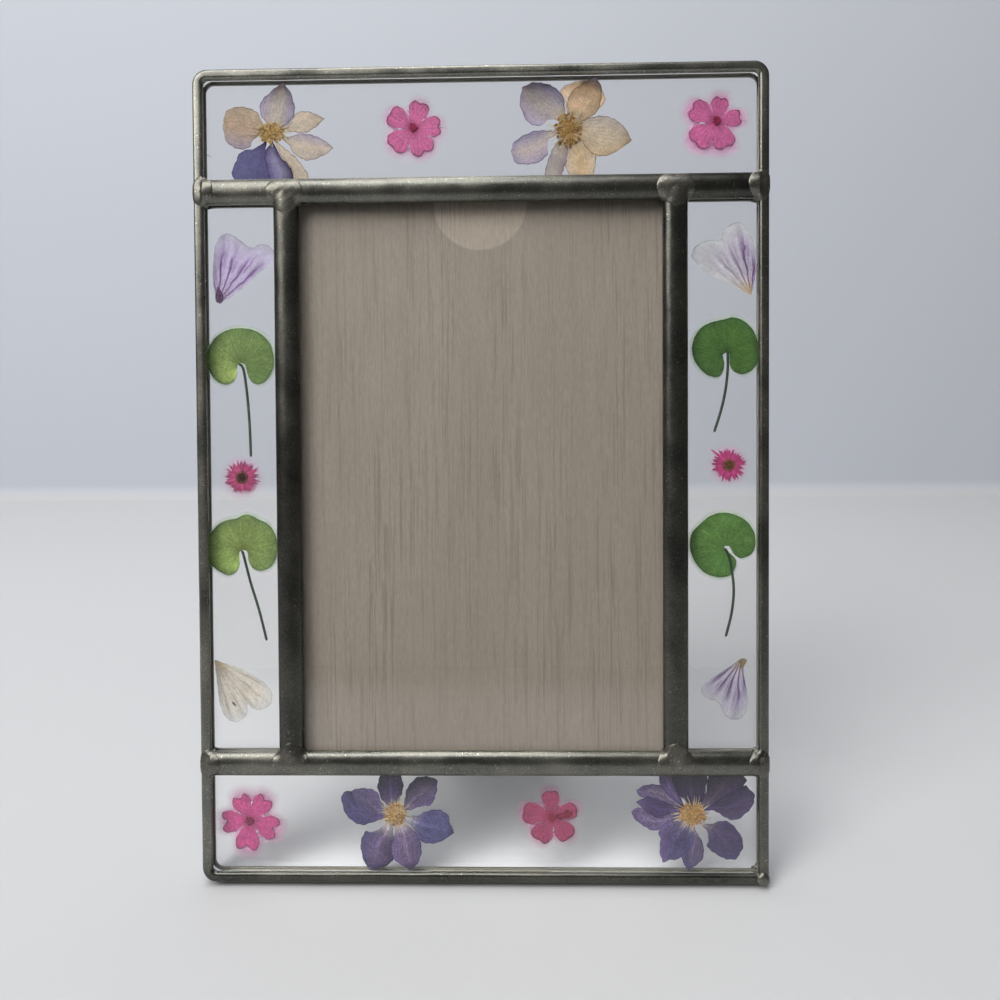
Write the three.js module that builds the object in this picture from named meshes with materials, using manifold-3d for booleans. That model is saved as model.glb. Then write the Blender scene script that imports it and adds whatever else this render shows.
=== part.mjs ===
// Pressed flower frame: a standing picture frame of leaded glass. Four strips of double glass
// hold pressed flowers and leaves around a window for a 4 by 6 inch print, and a sheet-metal
// easel leg hinged to the back plate carries the frame at a lean.
//
// Millimetres, +Z up, front towards -Y. The origin is under the middle of the frame, on the
// surface that it stands on.

import * as THREE from 'three';
import { mergeVertices } from 'three/addons/utils/BufferGeometryUtils.js';
import Module from 'manifold-3d';

const wasm = await Module();
wasm.setup();

// ---------------------------------------------------------------- driving dimensions

const FRAME_WIDTH = 154;
const FRAME_HEIGHT = 220;
const LEAN = THREE.MathUtils.degToRad(13);
const GAP = 0.3; // play between pieces that touch

const CORNER_RADIUS = 4; // the edge came is bent round three corners
const SQUARE_CORNER_RADIUS = 1.2; // and mitred at the fourth, where its ends meet
const EDGE_CAME_FACE = 2.8;
const EDGE_CAME_REAR_FACE = 1.8; // the rear flange is narrower, as seen through the glass
const EDGE_CAME_DEPTH = 7.9;
const EDGE_CAME_WALL = 1.0;
const EDGE_CAME_ROUNDING = 0.9;

const CAME_CHANNEL = 5.5; // room for the glass between the two flanges
const CAME_REAR_FACE = 4.7; // as with the edge came, the rear flange is narrower
const CAME_FACE = 6.7;
const CAME_WEB = 1.6;
const CAME_LIP = 0.4;
const CAME_CROWN = 2.4;

const CROSSBAR_FROM_MIDDLE = 77.3;
const UPRIGHT_FROM_MIDDLE = 52.1;

const GLASS_THICKNESS = 2.0;
const GLASS_SPACING = 0.9; // between the front and the rear pane
const PRESSED_THICKNESS = 0.3;
const PRINT_WIDTH = 101.6;
const PRINT_HEIGHT = 152;
const PRINT_THICKNESS = 0.3;

const BACK_PLATE_THICKNESS = 0.8;
const BACK_PLATE_HEM = 4.8;
const THUMB_NOTCH_RADIUS = 12.7;

const HINGE_HEIGHT = 140; // above the bottom edge, measured along the frame
const HINGE_AXIS_DEPTH = 5.3; // behind the middle of the glass
const HINGE_LEAF_WIDTH = 34;
const HINGE_LEAF_BELOW = 9;
const HINGE_LEAF_ABOVE = 11.5;
const HINGE_LEAF_THICKNESS = 1.0;
const KNUCKLE_RADIUS = 2.4;
const KNUCKLE_BORE = 1.3;
const KNUCKLE_OUTER_END = 15.5;
const KNUCKLE_SPLIT = 4.85;
const PIN_RADIUS = 1.0;
const PIN_LENGTH = 33;

const LEG_LENGTH = 138; // from the pin to the middle of the rolled foot
const LEG_SHEET = 1.0;
const LEG_SHEET_BEHIND_PIN = 1.4;
const LEG_TOP_WIDTH = 24;
const LEG_FOOT_WIDTH = 44;
const LEG_SHOULDER = 3.4; // the sheet is narrow beside the knuckles
const LEG_STOP_LIP = 8.9; // above the pin, where the sheet stops against the hinge plate
const LEG_FLANGE_DEPTH = 2;
const LEG_FLANGE_WIDTH = 0.8;
const FOOT_ROLL_RADIUS = 1.25;

// ---------------------------------------------------------------- worked-out places

const halfWidth = FRAME_WIDTH / 2;
const halfHeight = FRAME_HEIGHT / 2;
const halfChannel = CAME_CHANNEL / 2;
const halfWeb = CAME_WEB / 2;
const halfFace = CAME_FACE / 2;
const halfRearFace = CAME_REAR_FACE / 2;
const crownTop = halfChannel + CAME_CROWN;
const edgeInside = halfWidth - EDGE_CAME_FACE;

// Depths are measured from the middle of the glass, positive towards the front.
const frontPane = [GLASS_SPACING / 2, GLASS_SPACING / 2 + GLASS_THICKNESS];
const rearPane = [-GLASS_SPACING / 2 - GLASS_THICKNESS, -GLASS_SPACING / 2];
const backPlateFront = -GLASS_SPACING / 2;
const backPlateRear = backPlateFront - BACK_PLATE_THICKNESS;
const hingeLeafFront = backPlateRear - GAP;
const hingeLeafRear = hingeLeafFront - HINGE_LEAF_THICKNESS;

// Glass edges, inside the cames.
const stripOuterX = halfWidth - EDGE_CAME_WALL - GAP;
const stripOuterY = halfHeight - EDGE_CAME_WALL - GAP;
const stripInnerX = UPRIGHT_FROM_MIDDLE + halfWeb + GAP;
const windowX = UPRIGHT_FROM_MIDDLE - halfWeb - GAP;
const windowY = CROSSBAR_FROM_MIDDLE - halfWeb - GAP;
const stripInnerY = CROSSBAR_FROM_MIDDLE + halfWeb + GAP;

// The frame leans back on the rear edge of its underside; the foot of the leg meets the same
// surface. The opening of the leg follows from the height of the pin.
const underside = (EDGE_CAME_DEPTH / 2 - EDGE_CAME_ROUNDING) * Math.sin(LEAN);
const pinHeight = HINGE_HEIGHT * Math.cos(LEAN) - HINGE_AXIS_DEPTH * Math.sin(LEAN) + underside;
const footBehindPin = LEG_SHEET_BEHIND_PIN + LEG_SHEET / 2;
const footReach = Math.hypot(LEG_LENGTH, footBehindPin);
const footAngle = Math.atan2(footBehindPin, LEG_LENGTH);
const legOpening = LEAN - footAngle + Math.acos((pinHeight - FOOT_ROLL_RADIUS) / footReach);

// ---------------------------------------------------------------- solid helpers

function toSolid(geometry) {
  const bare = geometry.index ? geometry.toNonIndexed() : geometry.clone();
  bare.deleteAttribute('normal');
  bare.deleteAttribute('uv');
  const merged = mergeVertices(bare, 1e-5);
  return new wasm.Manifold(new wasm.Mesh({
    numProp: 3,
    vertProperties: new Float32Array(merged.attributes.position.array),
    triVerts: new Uint32Array(merged.index.array),
  }));
}

function toGeometry(solid) {
  const mesh = solid.getMesh();
  const geometry = new THREE.BufferGeometry();
  geometry.setAttribute('position', new THREE.BufferAttribute(mesh.vertProperties, mesh.numProp));
  geometry.setIndex(new THREE.BufferAttribute(mesh.triVerts, 1));
  geometry.computeVertexNormals();
  return geometry;
}

function extrude(shape, [near, far], curveSegments = 6) {
  const geometry = new THREE.ExtrudeGeometry(shape, {
    depth: far - near,
    bevelEnabled: false,
    curveSegments,
  });
  return geometry.translate(0, 0, near);
}

function slab([left, right], [bottom, top], [near, far]) {
  const geometry = new THREE.BoxGeometry(right - left, top - bottom, far - near);
  return geometry.translate((left + right) / 2, (bottom + top) / 2, (near + far) / 2);
}

function union(geometries) {
  return geometries.map(toSolid).reduce((whole, piece) => whole.add(piece));
}

// A rectangle with its own radius at each corner, in the order bottom left, bottom right,
// top right, top left.
function roundedRectangle([left, right], [bottom, top], radii) {
  const [bottomLeft, bottomRight, topRight, topLeft] = radii;
  const shape = new THREE.Shape();
  shape.moveTo(left + bottomLeft, bottom);
  shape.lineTo(right - bottomRight, bottom);
  shape.absarc(right - bottomRight, bottom + bottomRight, bottomRight, -Math.PI / 2, 0);
  shape.absarc(right - topRight, top - topRight, topRight, 0, Math.PI / 2);
  shape.absarc(left + topLeft, top - topLeft, topLeft, Math.PI / 2, Math.PI);
  shape.absarc(left + bottomLeft, bottom + bottomLeft, bottomLeft, Math.PI, 1.5 * Math.PI);
  return shape;
}

// ---------------------------------------------------------------- materials and nodes

const group = new THREE.Group();
const leaning = new THREE.Group();
leaning.rotation.x = Math.PI / 2 - LEAN;
group.add(leaning);

const finishes = {
  came: { color: 0x3f3f3e, roughness: 0.45, metalness: 0.75 },
  tinnedSheet: { color: 0x8b8d8c, roughness: 0.4, metalness: 0.85 },
  glass: { color: 0xdfe8e6, roughness: 0.05, metalness: 0, transparent: true, opacity: 0.3 },
  print: { color: 0x8a8074, roughness: 0.75, metalness: 0 },
  leaf: { color: 0x4e7031, roughness: 0.7, metalness: 0 },
  paleLeaf: { color: 0x6f8c45, roughness: 0.7, metalness: 0 },
  creamPetal: { color: 0xb9ab9c, roughness: 0.75, metalness: 0 },
  purplePetal: { color: 0x4c4568, roughness: 0.75, metalness: 0 },
  pinkPetal: { color: 0xb34f86, roughness: 0.7, metalness: 0 },
  lilacPetal: { color: 0xb3a0bf, roughness: 0.75, metalness: 0 },
};

function addPiece(name, geometry, finish, parent = leaning) {
  const mesh = new THREE.Mesh(geometry, new THREE.MeshStandardMaterial(finishes[finish]));
  mesh.name = name;
  parent.add(mesh);
  return mesh;
}

// ---------------------------------------------------------------- cames

// The edge came is a U channel: a ring with softened edges, less the slab that the glass fills
// and less the strip by which the rear flange is narrower than the front one.
function edgeCame() {
  const radii = [CORNER_RADIUS, SQUARE_CORNER_RADIUS, CORNER_RADIUS, CORNER_RADIUS];
  const ringAt = (inset) => roundedRectangle(
    [-halfWidth + inset, halfWidth - inset],
    [-halfHeight + inset, halfHeight - inset],
    radii.map((radius) => Math.max(radius - inset, 0.4)),
  );
  const ring = ringAt(0);
  ring.holes.push(ringAt(EDGE_CAME_FACE));
  const straightDepth = EDGE_CAME_DEPTH - 2 * EDGE_CAME_ROUNDING;
  const bar = new THREE.ExtrudeGeometry(ring, {
    depth: straightDepth,
    bevelEnabled: true,
    bevelThickness: EDGE_CAME_ROUNDING,
    bevelSize: EDGE_CAME_ROUNDING,
    bevelOffset: -EDGE_CAME_ROUNDING,
    bevelSegments: 2,
    curveSegments: 4,
  }).translate(0, 0, -straightDepth / 2);
  const channel = extrude(ringAt(EDGE_CAME_WALL), [-halfChannel, halfChannel], 4);
  const rearOpening = extrude(ringAt(EDGE_CAME_REAR_FACE), [-EDGE_CAME_DEPTH, 0], 4);
  return toGeometry(toSolid(bar).subtract(toSolid(channel)).subtract(toSolid(rearOpening)));
}

// The section of the H came: two crowned flanges joined by a web. x runs across the bar and
// y runs through the depth of the frame.
function cameSection() {
  const lipTop = halfChannel + CAME_LIP;
  const crown = CAME_CROWN - CAME_LIP;
  const section = new THREE.Shape();
  section.moveTo(halfWeb, -halfChannel);
  section.lineTo(halfRearFace, -halfChannel);
  section.lineTo(halfRearFace, -lipTop);
  section.absellipse(0, -lipTop, halfRearFace, crown, 0, -Math.PI, true);
  section.lineTo(-halfRearFace, -halfChannel);
  section.lineTo(-halfWeb, -halfChannel);
  section.lineTo(-halfWeb, halfChannel);
  section.lineTo(-halfFace, halfChannel);
  section.lineTo(-halfFace, lipTop);
  section.absellipse(0, lipTop, halfFace, crown, Math.PI, 0, true);
  section.lineTo(halfFace, halfChannel);
  section.lineTo(halfWeb, halfChannel);
  return section;
}

const X = new THREE.Vector3(1, 0, 0);
const Y = new THREE.Vector3(0, 1, 0);
const Z = new THREE.Vector3(0, 0, 1);

function came(halfLength, along) {
  const bar = extrude(cameSection(), [-halfLength, halfLength], 6);
  const turn = new THREE.Matrix4();
  if (along === 'x') {
    turn.makeBasis(Y, Z, X);
  } else {
    turn.makeBasis(X, Z, Y.clone().negate());
  }
  return bar.applyMatrix4(turn);
}

const crossbarHalfLength = edgeInside - GAP;
const uprightHalfLength = CROSSBAR_FROM_MIDDLE - halfFace - GAP;

// Between the uprights the upper crossbar has lost its lower rear lip, so that the print
// slides in from above, behind the glass.
function upperCrossbar() {
  const reach = UPRIGHT_FROM_MIDDLE - halfFace - GAP;
  const lip = slab([-reach, reach], [-CAME_FACE, -halfWeb], [-2 * crownTop, 0]);
  return toGeometry(toSolid(came(crossbarHalfLength, 'x')).subtract(toSolid(lip)));
}

addPiece('outer_came', edgeCame(), 'came');
addPiece('upper_crossbar', upperCrossbar(), 'came').position.y = CROSSBAR_FROM_MIDDLE;
addPiece('lower_crossbar', came(crossbarHalfLength, 'x'), 'came')
  .position.y = -CROSSBAR_FROM_MIDDLE;
addPiece('left_upright', came(uprightHalfLength, 'y'), 'came').position.x = -UPRIGHT_FROM_MIDDLE;
addPiece('right_upright', came(uprightHalfLength, 'y'), 'came').position.x = UPRIGHT_FROM_MIDDLE;

// ---------------------------------------------------------------- glass, print, back plate

const glassCorner = CORNER_RADIUS - EDGE_CAME_WALL - GAP;
const squareGlassCorner = 0.5;

const strips = {
  top: {
    x: [-stripOuterX, stripOuterX],
    y: [stripInnerY, stripOuterY],
    corners: [0.1, 0.1, glassCorner, glassCorner],
  },
  bottom: {
    x: [-stripOuterX, stripOuterX],
    y: [-stripOuterY, -stripInnerY],
    corners: [glassCorner, squareGlassCorner, 0.1, 0.1],
  },
  left: { x: [-stripOuterX, -stripInnerX], y: [-windowY, windowY] },
  right: { x: [stripInnerX, stripOuterX], y: [-windowY, windowY] },
};

function pane(strip, depths) {
  if (!strip.corners) {
    return slab(strip.x, strip.y, depths);
  }
  return extrude(roundedRectangle(strip.x, strip.y, strip.corners), depths, 3);
}

for (const [side, strip] of Object.entries(strips)) {
  addPiece(`${side}_strip_front_glass`, pane(strip, frontPane), 'glass');
  addPiece(`${side}_strip_rear_glass`, pane(strip, rearPane), 'glass');
}

addPiece('window_glass', slab([-windowX, windowX], [-windowY, windowY], frontPane), 'glass');

const printBottom = -windowY;
addPiece('photo_insert', slab(
  [-PRINT_WIDTH / 2, PRINT_WIDTH / 2],
  [printBottom, printBottom + PRINT_HEIGHT],
  [-PRINT_THICKNESS / 2, PRINT_THICKNESS / 2],
), 'print');

// Tinned sheet with its side and bottom edges folded back on themselves, and a half-moon
// notch at the top for the thumb that slides the print out.
function backPlate() {
  const sheet = slab([-windowX, windowX], [-windowY, windowY], [backPlateRear, backPlateFront]);
  const hem = slab(
    [-windowX, windowX],
    [-windowY, windowY],
    [rearPane[0], backPlateRear + 0.1],
  );
  const insideHem = slab(
    [-windowX + BACK_PLATE_HEM, windowX - BACK_PLATE_HEM],
    [-windowY + BACK_PLATE_HEM, windowY + 1],
    [rearPane[0] - 1, backPlateRear],
  );
  const notch = new THREE.CylinderGeometry(THUMB_NOTCH_RADIUS, THUMB_NOTCH_RADIUS, 6, 28);
  notch.rotateX(Math.PI / 2).translate(0, windowY, backPlateRear);
  const folded = toSolid(hem).subtract(toSolid(insideHem));
  return toGeometry(toSolid(sheet).add(folded).subtract(toSolid(notch)));
}

addPiece('back_plate', backPlate(), 'tinnedSheet');

// ---------------------------------------------------------------- easel

const hinge = new THREE.Group();
hinge.position.set(0, HINGE_HEIGHT - halfHeight, -HINGE_AXIS_DEPTH);
leaning.add(hinge);

function barrel(from, to) {
  const tube = new THREE.CylinderGeometry(KNUCKLE_RADIUS, KNUCKLE_RADIUS, to - from, 20);
  return tube.rotateZ(Math.PI / 2).translate((from + to) / 2, 0, 0);
}

function bore() {
  const hole = new THREE.CylinderGeometry(KNUCKLE_BORE, KNUCKLE_BORE, 3 * PIN_LENGTH, 16);
  return toSolid(hole.rotateZ(Math.PI / 2));
}

// A leaf on the back plate with a knuckle at either end, held off by a short neck.
function hingePlate() {
  const leafFront = hingeLeafFront + HINGE_AXIS_DEPTH;
  const leafRear = hingeLeafRear + HINGE_AXIS_DEPTH;
  const neck = 1.6;
  const pieces = [slab(
    [-HINGE_LEAF_WIDTH / 2, HINGE_LEAF_WIDTH / 2],
    [-HINGE_LEAF_BELOW, HINGE_LEAF_ABOVE],
    [leafRear, leafFront],
  )];
  for (const side of [-1, 1]) {
    const ends = [side * KNUCKLE_SPLIT, side * KNUCKLE_OUTER_END].sort((a, b) => a - b);
    pieces.push(barrel(ends[0], ends[1]));
    pieces.push(slab(ends, [-neck, neck], [1, leafFront - 0.2]));
  }
  return toGeometry(union(pieces).subtract(bore()));
}

function hingePin() {
  const pin = new THREE.CylinderGeometry(PIN_RADIUS, PIN_RADIUS, PIN_LENGTH, 16);
  return pin.rotateZ(Math.PI / 2);
}

// A tapered sheet with turned-back side flanges, one knuckle in the middle of the hinge, a lip
// above it that stops the opening, and a rolled edge for a foot.
function easelLeg() {
  const knuckle = KNUCKLE_SPLIT - GAP;
  const top = LEG_TOP_WIDTH / 2;
  const foot = LEG_FOOT_WIDTH / 2;
  const front = -LEG_SHEET_BEHIND_PIN;
  const rear = front - LEG_SHEET;
  const half = [
    [foot, -LEG_LENGTH],
    [top, -LEG_SHOULDER],
    [knuckle, -LEG_SHOULDER],
    [knuckle, LEG_SHOULDER],
    [top, LEG_SHOULDER],
    [top, LEG_STOP_LIP],
  ];
  const mirrored = half.map(([x, y]) => [-x, y]).reverse();
  const outline = [...half, ...mirrored].map(([x, y]) => new THREE.Vector2(x, y));
  const pieces = [
    extrude(new THREE.Shape(outline), [rear, front]),
    barrel(-knuckle, knuckle),
  ];
  const roll = new THREE.CylinderGeometry(FOOT_ROLL_RADIUS, FOOT_ROLL_RADIUS, LEG_FOOT_WIDTH, 20);
  pieces.push(roll.rotateZ(Math.PI / 2).translate(0, -LEG_LENGTH, -footBehindPin));
  const flangeTop = -LEG_SHOULDER;
  const flangeFoot = -LEG_LENGTH + 2 * FOOT_ROLL_RADIUS;
  const footX = THREE.MathUtils.mapLinear(flangeFoot, -LEG_LENGTH, flangeTop, foot, top);
  for (const side of [-1, 1]) {
    const flange = new THREE.Shape([
      new THREE.Vector2(side * footX, flangeFoot),
      new THREE.Vector2(side * top, flangeTop),
      new THREE.Vector2(side * (top - LEG_FLANGE_WIDTH), flangeTop),
      new THREE.Vector2(side * (footX - LEG_FLANGE_WIDTH), flangeFoot),
    ]);
    pieces.push(extrude(flange, [rear - LEG_FLANGE_DEPTH, rear + 0.5]));
  }
  return toGeometry(union(pieces).subtract(bore()));
}

addPiece('hinge_plate', hingePlate(), 'tinnedSheet', hinge);
addPiece('hinge_pin', hingePin(), 'tinnedSheet', hinge);
addPiece('easel_leg', easelLeg(), 'tinnedSheet', hinge).rotation.x = legOpening;

// ---------------------------------------------------------------- pressed flowers and leaves

// Places on the face are millimetres from the middle of the frame, x to the right and y up.

// A petal along the line from its base to its tip. Its half-width at the fraction s of the way
// is s^inner * (1 - s)^outer, scaled to reach `left` and `right` at the widest place.
function petalOutline([baseX, baseY, tipX, tipY, left, right, inner, outer], steps = 7) {
  const along = new THREE.Vector2(tipX - baseX, tipY - baseY);
  const across = new THREE.Vector2(-along.y, along.x).normalize();
  const peak = inner / (inner + outer);
  const scale = peak ** inner * (1 - peak) ** outer;
  const edge = (fraction, width) => {
    const half = (width * fraction ** inner * (1 - fraction) ** outer) / scale;
    return new THREE.Vector2(baseX, baseY)
      .addScaledVector(along, fraction)
      .addScaledVector(across, half);
  };
  const fractions = Array.from({ length: steps + 1 }, (_, i) => (
    (1 - Math.cos((Math.PI * i) / steps)) / 2
  ));
  const there = fractions.map((fraction) => edge(fraction, left));
  const back = fractions.slice(1, -1).reverse().map((fraction) => edge(fraction, -right));
  return [...there, ...back];
}

// A fan-shaped petal from a point: its radius falls to nothing at plus and minus `spread`
// degrees from its own direction, and dips by `notch` in the middle.
function fanOutline([x, y, direction, length, spread, notch], steps = 14) {
  const points = [new THREE.Vector2(x, y)];
  for (let i = 1; i < steps; i += 1) {
    const turn = Math.sin((Math.PI * i) / steps - Math.PI / 2);
    const dip = 1 - notch * Math.exp(-((turn / 0.24) ** 2));
    const radius = length * dip * Math.cbrt(1 - Math.abs(turn) ** 3);
    const angle = THREE.MathUtils.degToRad(direction + spread * turn);
    points.push(new THREE.Vector2(x + radius * Math.cos(angle), y + radius * Math.sin(angle)));
  }
  return points;
}

// A kidney-shaped leaf around the joint of its stalk. The radius is `size` at the front, a
// little less behind, and falls to nothing in the notch opposite `direction`.
function leafOutline({ joint, direction, size, sideways, notch, behind }, steps = 36) {
  const points = [];
  for (let i = 0; i < steps; i += 1) {
    const turn = -Math.PI + (2 * Math.PI * (i + 0.5)) / steps;
    const rear = ((1 - Math.cos(turn)) / 2) ** 2;
    const cleft = Math.sqrt(1 - Math.exp(-(((Math.PI - Math.abs(turn)) / notch) ** 2)));
    const radius = size * (1 - behind * rear) * (1 + sideways * Math.sin(turn)) * cleft;
    const angle = THREE.MathUtils.degToRad(direction) + turn;
    points.push(new THREE.Vector2(
      joint[0] + radius * Math.cos(angle),
      joint[1] + radius * Math.sin(angle),
    ));
  }
  return points;
}

function stalkOutline([start, bend, end], width, steps = 8) {
  const line = new THREE.QuadraticBezierCurve(
    new THREE.Vector2(...start),
    new THREE.Vector2(...bend),
    new THREE.Vector2(...end),
  );
  const sideAt = (fraction, side) => {
    const tangent = line.getTangent(fraction);
    const normal = new THREE.Vector2(-tangent.y, tangent.x);
    return line.getPoint(fraction).addScaledVector(normal, (side * width) / 2);
  };
  const fractions = Array.from({ length: steps + 1 }, (_, i) => i / steps);
  return [
    ...fractions.map((fraction) => sideAt(fraction, 1)),
    ...fractions.reverse().map((fraction) => sideAt(fraction, -1)),
  ];
}

function rayedOutline([x, y], radius, rays, cut) {
  return Array.from({ length: 2 * rays }, (_, i) => {
    const reach = radius * (i % 2 ? 1 : cut);
    const angle = (Math.PI * i) / rays;
    return new THREE.Vector2(x + reach * Math.cos(angle), y + reach * Math.sin(angle));
  });
}

function ovalOutline([x, y, radiusX, radiusY]) {
  return new THREE.Path().absellipse(x, y, radiusX, radiusY, 0, 2 * Math.PI).getPoints(4);
}

// A pressed specimen is as flat as paper and lies between the panes of its strip, where the
// edges of the glass are as far as it goes.
function pressed(outlines, side) {
  const depths = [-PRESSED_THICKNESS / 2, PRESSED_THICKNESS / 2];
  const strip = strips[side];
  const room = slab(
    [strip.x[0] + GAP, strip.x[1] - GAP],
    [strip.y[0] + GAP, strip.y[1] - GAP],
    [-1, 1],
  );
  const pieces = outlines.map((outline) => extrude(new THREE.Shape(outline), depths));
  return toGeometry(union(pieces).intersect(toSolid(room)).simplify(0.01));
}

// Larkspurs: an oval of stamens, and petals as [base x, base y, tip x, tip y, left half-width,
// right half-width, inner power, outer power].
const larkspurs = {
  larkspur_top_left: {
    side: 'top',
    finish: 'creamPetal',
    stamens: [-56.4, 93.4, 3.8, 3.0],
    petals: [
      [-55.5, 95.5, -53.2, 107.4, 5.1, 4.3, 0.45, 0.65],
      [-59.3, 95.2, -70, 96, 5.4, 5.6, 0.42, 0.42],
      [-53, 94.5, -41.9, 97.7, 3.4, 2.9, 0.75, 0.75],
      [-53, 91.8, -39.6, 89.7, 2.9, 4.1, 0.8, 0.62],
      [-54.5, 90.8, -45.2, 78.6, 2.6, 2, 0.7, 0.6],
      [-59.5, 91.5, -61.5, 77.3, 3.6, 6, 0.45, 0.4],
      [-56.3, 90.6, -54.3, 77.5, 4.2, 3.6, 0.55, 0.45],
    ],
  },
  larkspur_top_right: {
    side: 'top',
    finish: 'creamPetal',
    stamens: [24, 94, 4, 4.6],
    petals: [
      [22.5, 98.3, 11.6, 103.2, 5.2, 5.2, 0.5, 0.35],
      [25, 97, 26.5, 107.2, 4.4, 3, 0.6, 0.45],
      [26.3, 96.3, 32.3, 108.1, 4.4, 4.9, 0.6, 0.6],
      [27, 94.2, 40.9, 90.4, 4, 5.2, 0.7, 0.6],
      [25.8, 91.5, 28, 78.6, 3.8, 4, 0.5, 0.4],
      [22.3, 92, 19.3, 78.6, 2.7, 2.6, 0.5, 0.35],
      [20.8, 92.7, 8.6, 87.6, 4.4, 3.4, 0.6, 0.35],
    ],
  },
  larkspur_bottom_left: {
    side: 'bottom',
    finish: 'purplePetal',
    stamens: [-24.6, -92.3, 3.6, 3.9],
    petals: [
      [-25.7, -90, -25.6, -78.6, 3.6, 3.6, 0.6, 0.4],
      [-21.9, -92.4, -12.8, -82.6, 3.9, 3.7, 0.6, 0.5],
      [-22, -94, -8.3, -97.6, 5.2, 4.3, 0.7, 0.5],
      [-23, -95, -20.3, -107.6, 4.2, 3.5, 0.6, 0.6],
      [-26, -95, -32, -107.8, 4.2, 4.6, 0.55, 0.6],
      [-27, -93.7, -39.6, -87.5, 4.2, 3, 0.6, 0.4],
      [-26.8, -92, -36.6, -85.2, 3.6, 3.4, 0.6, 0.45],
    ],
  },
  larkspur_bottom_right: {
    side: 'bottom',
    finish: 'purplePetal',
    stamens: [56.8, -92, 4.2, 3.7],
    petals: [
      [54.2, -90.6, 48.8, -79.5, 3, 3.2, 0.6, 0.4],
      [53.3, -91, 41.9, -85.6, 3, 2.8, 0.6, 0.5],
      [53.3, -91.6, 41.8, -88.8, 3.2, 2.4, 0.6, 0.5],
      [53.6, -93, 40.5, -91.7, 3.8, 1.8, 0.6, 0.5],
      [56.4, -90, 56, -78.5, 3.8, 4, 0.6, 0.4],
      [59, -91, 66, -79, 4.3, 4.5, 0.6, 0.4],
      [60, -91.4, 74.2, -87, 5, 4.8, 0.7, 0.5],
      [59.8, -93.6, 69, -104.7, 5.3, 4.2, 0.6, 0.4],
      [55.4, -94, 49, -105.6, 4, 3.4, 0.6, 0.4],
      [57.3, -94.8, 56.2, -107.7, 3.4, 3.3, 0.6, 0.6],
    ],
  },
};

for (const [name, { side, finish, stamens, petals }] of Object.entries(larkspurs)) {
  const outlines = petals.map((petal) => petalOutline(petal));
  addPiece(name, pressed([...outlines, ovalOutline(stamens)], side), finish);
}

// Verbenas: a centre and five notched petals as [direction, length, spread, notch].
const verbenas = {
  verbena_top_left: {
    side: 'top',
    centre: [-17.9, 95],
    petals: [
      [74, 7.6, 33, 0.12],
      [2, 7.7, 33, 0.1],
      [-66, 8.2, 42, 0.15],
      [-140, 8, 38, 0.08],
      [150, 7.9, 34, 0.06],
    ],
  },
  verbena_top_right: {
    side: 'top',
    centre: [63.8, 95.6],
    petals: [
      [80, 6.6, 32, 0.07],
      [12, 6.9, 30, 0.07],
      [-62, 8, 37, 0.1],
      [-135, 8.8, 36, 0.1],
      [153, 8.2, 35, 0.08],
    ],
  },
  verbena_bottom_left: {
    side: 'bottom',
    centre: [-64.8, -94.2],
    petals: [
      [107, 7.6, 28, 0.13],
      [55, 8.1, 30, 0.12],
      [184, 8.3, 34, 0.2],
      [-24, 8.7, 35, 0.2],
      [-100, 8.8, 29, 0.15],
    ],
  },
  verbena_bottom_right: {
    side: 'bottom',
    centre: [18.8, -93],
    petals: [
      [94, 7.2, 26, 0.05],
      [172, 8.3, 30, 0.04],
      [-127, 8, 34, 0.08],
      [-42, 7.9, 30, 0.05],
      [12, 6.9, 27, 0],
    ],
  },
};

for (const [name, { side, centre, petals }] of Object.entries(verbenas)) {
  const outlines = petals.map((petal) => fanOutline([...centre, ...petal]));
  addPiece(name, pressed([...outlines, ovalOutline([...centre, 2.4, 2.4])], side), 'pinkPetal');
}

// Mallow petals: single fans, veined from the narrow end.
const mallowPetals = {
  mallow_petal_upper_left: { side: 'left', fan: [-71.6, 48.3, 68, 19, 34, 0.17] },
  mallow_petal_lower_left: { side: 'left', fan: [-74, -49.4, -51, 19.4, 38, 0.2] },
  mallow_petal_upper_right: { side: 'right', fan: [73, 49, 119, 20, 42, 0.14] },
  mallow_petal_lower_right: { side: 'right', fan: [70, -49.6, -112, 16.8, 37, 0.12] },
};

for (const [name, { side, fan }] of Object.entries(mallowPetals)) {
  addPiece(name, pressed([fanOutline(fan, 20)], side), 'lilacPetal');
}

// Leaves: a kidney-shaped blade and its stalk, grown as one.
const leaves = {
  leaf_upper_left: {
    side: 'left',
    finish: 'paleLeaf',
    blade: {
      joint: [-65.6, 31.9], direction: 90, size: 9.5, sideways: -0.01, notch: 0.33, behind: 0.24,
    },
    stalk: [[-65.9, 32.3], [-64.6, 25], [-63.2, 6.1]],
  },
  leaf_lower_left: {
    side: 'left',
    finish: 'paleLeaf',
    blade: {
      joint: [-65.7, -19.4], direction: 90, size: 9.6, sideways: 0, notch: 0.3, behind: 0.22,
    },
    stalk: [[-66, -19.2], [-64.6, -28], [-59.4, -44.4]],
  },
  leaf_upper_right: {
    side: 'right',
    finish: 'leaf',
    blade: {
      joint: [66.3, 33], direction: 90, size: 9.7, sideways: 0.02, notch: 0.24, behind: 0.3,
    },
    stalk: [[66.5, 34], [67.4, 25], [63, 12]],
  },
  leaf_lower_right: {
    side: 'right',
    finish: 'leaf',
    blade: {
      joint: [65.6, -18.9], direction: 135, size: 9.3, sideways: 0, notch: 0.22, behind: 0.12,
    },
    stalk: [[66, -19.4], [69.6, -31], [66.2, -43.6]],
  },
};
const STALK_WIDTH = 0.75;

for (const [name, { side, finish, blade, stalk }] of Object.entries(leaves)) {
  const outlines = [leafOutline(blade), stalkOutline(stalk, STALK_WIDTH)];
  addPiece(name, pressed(outlines, side), finish);
}

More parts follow.
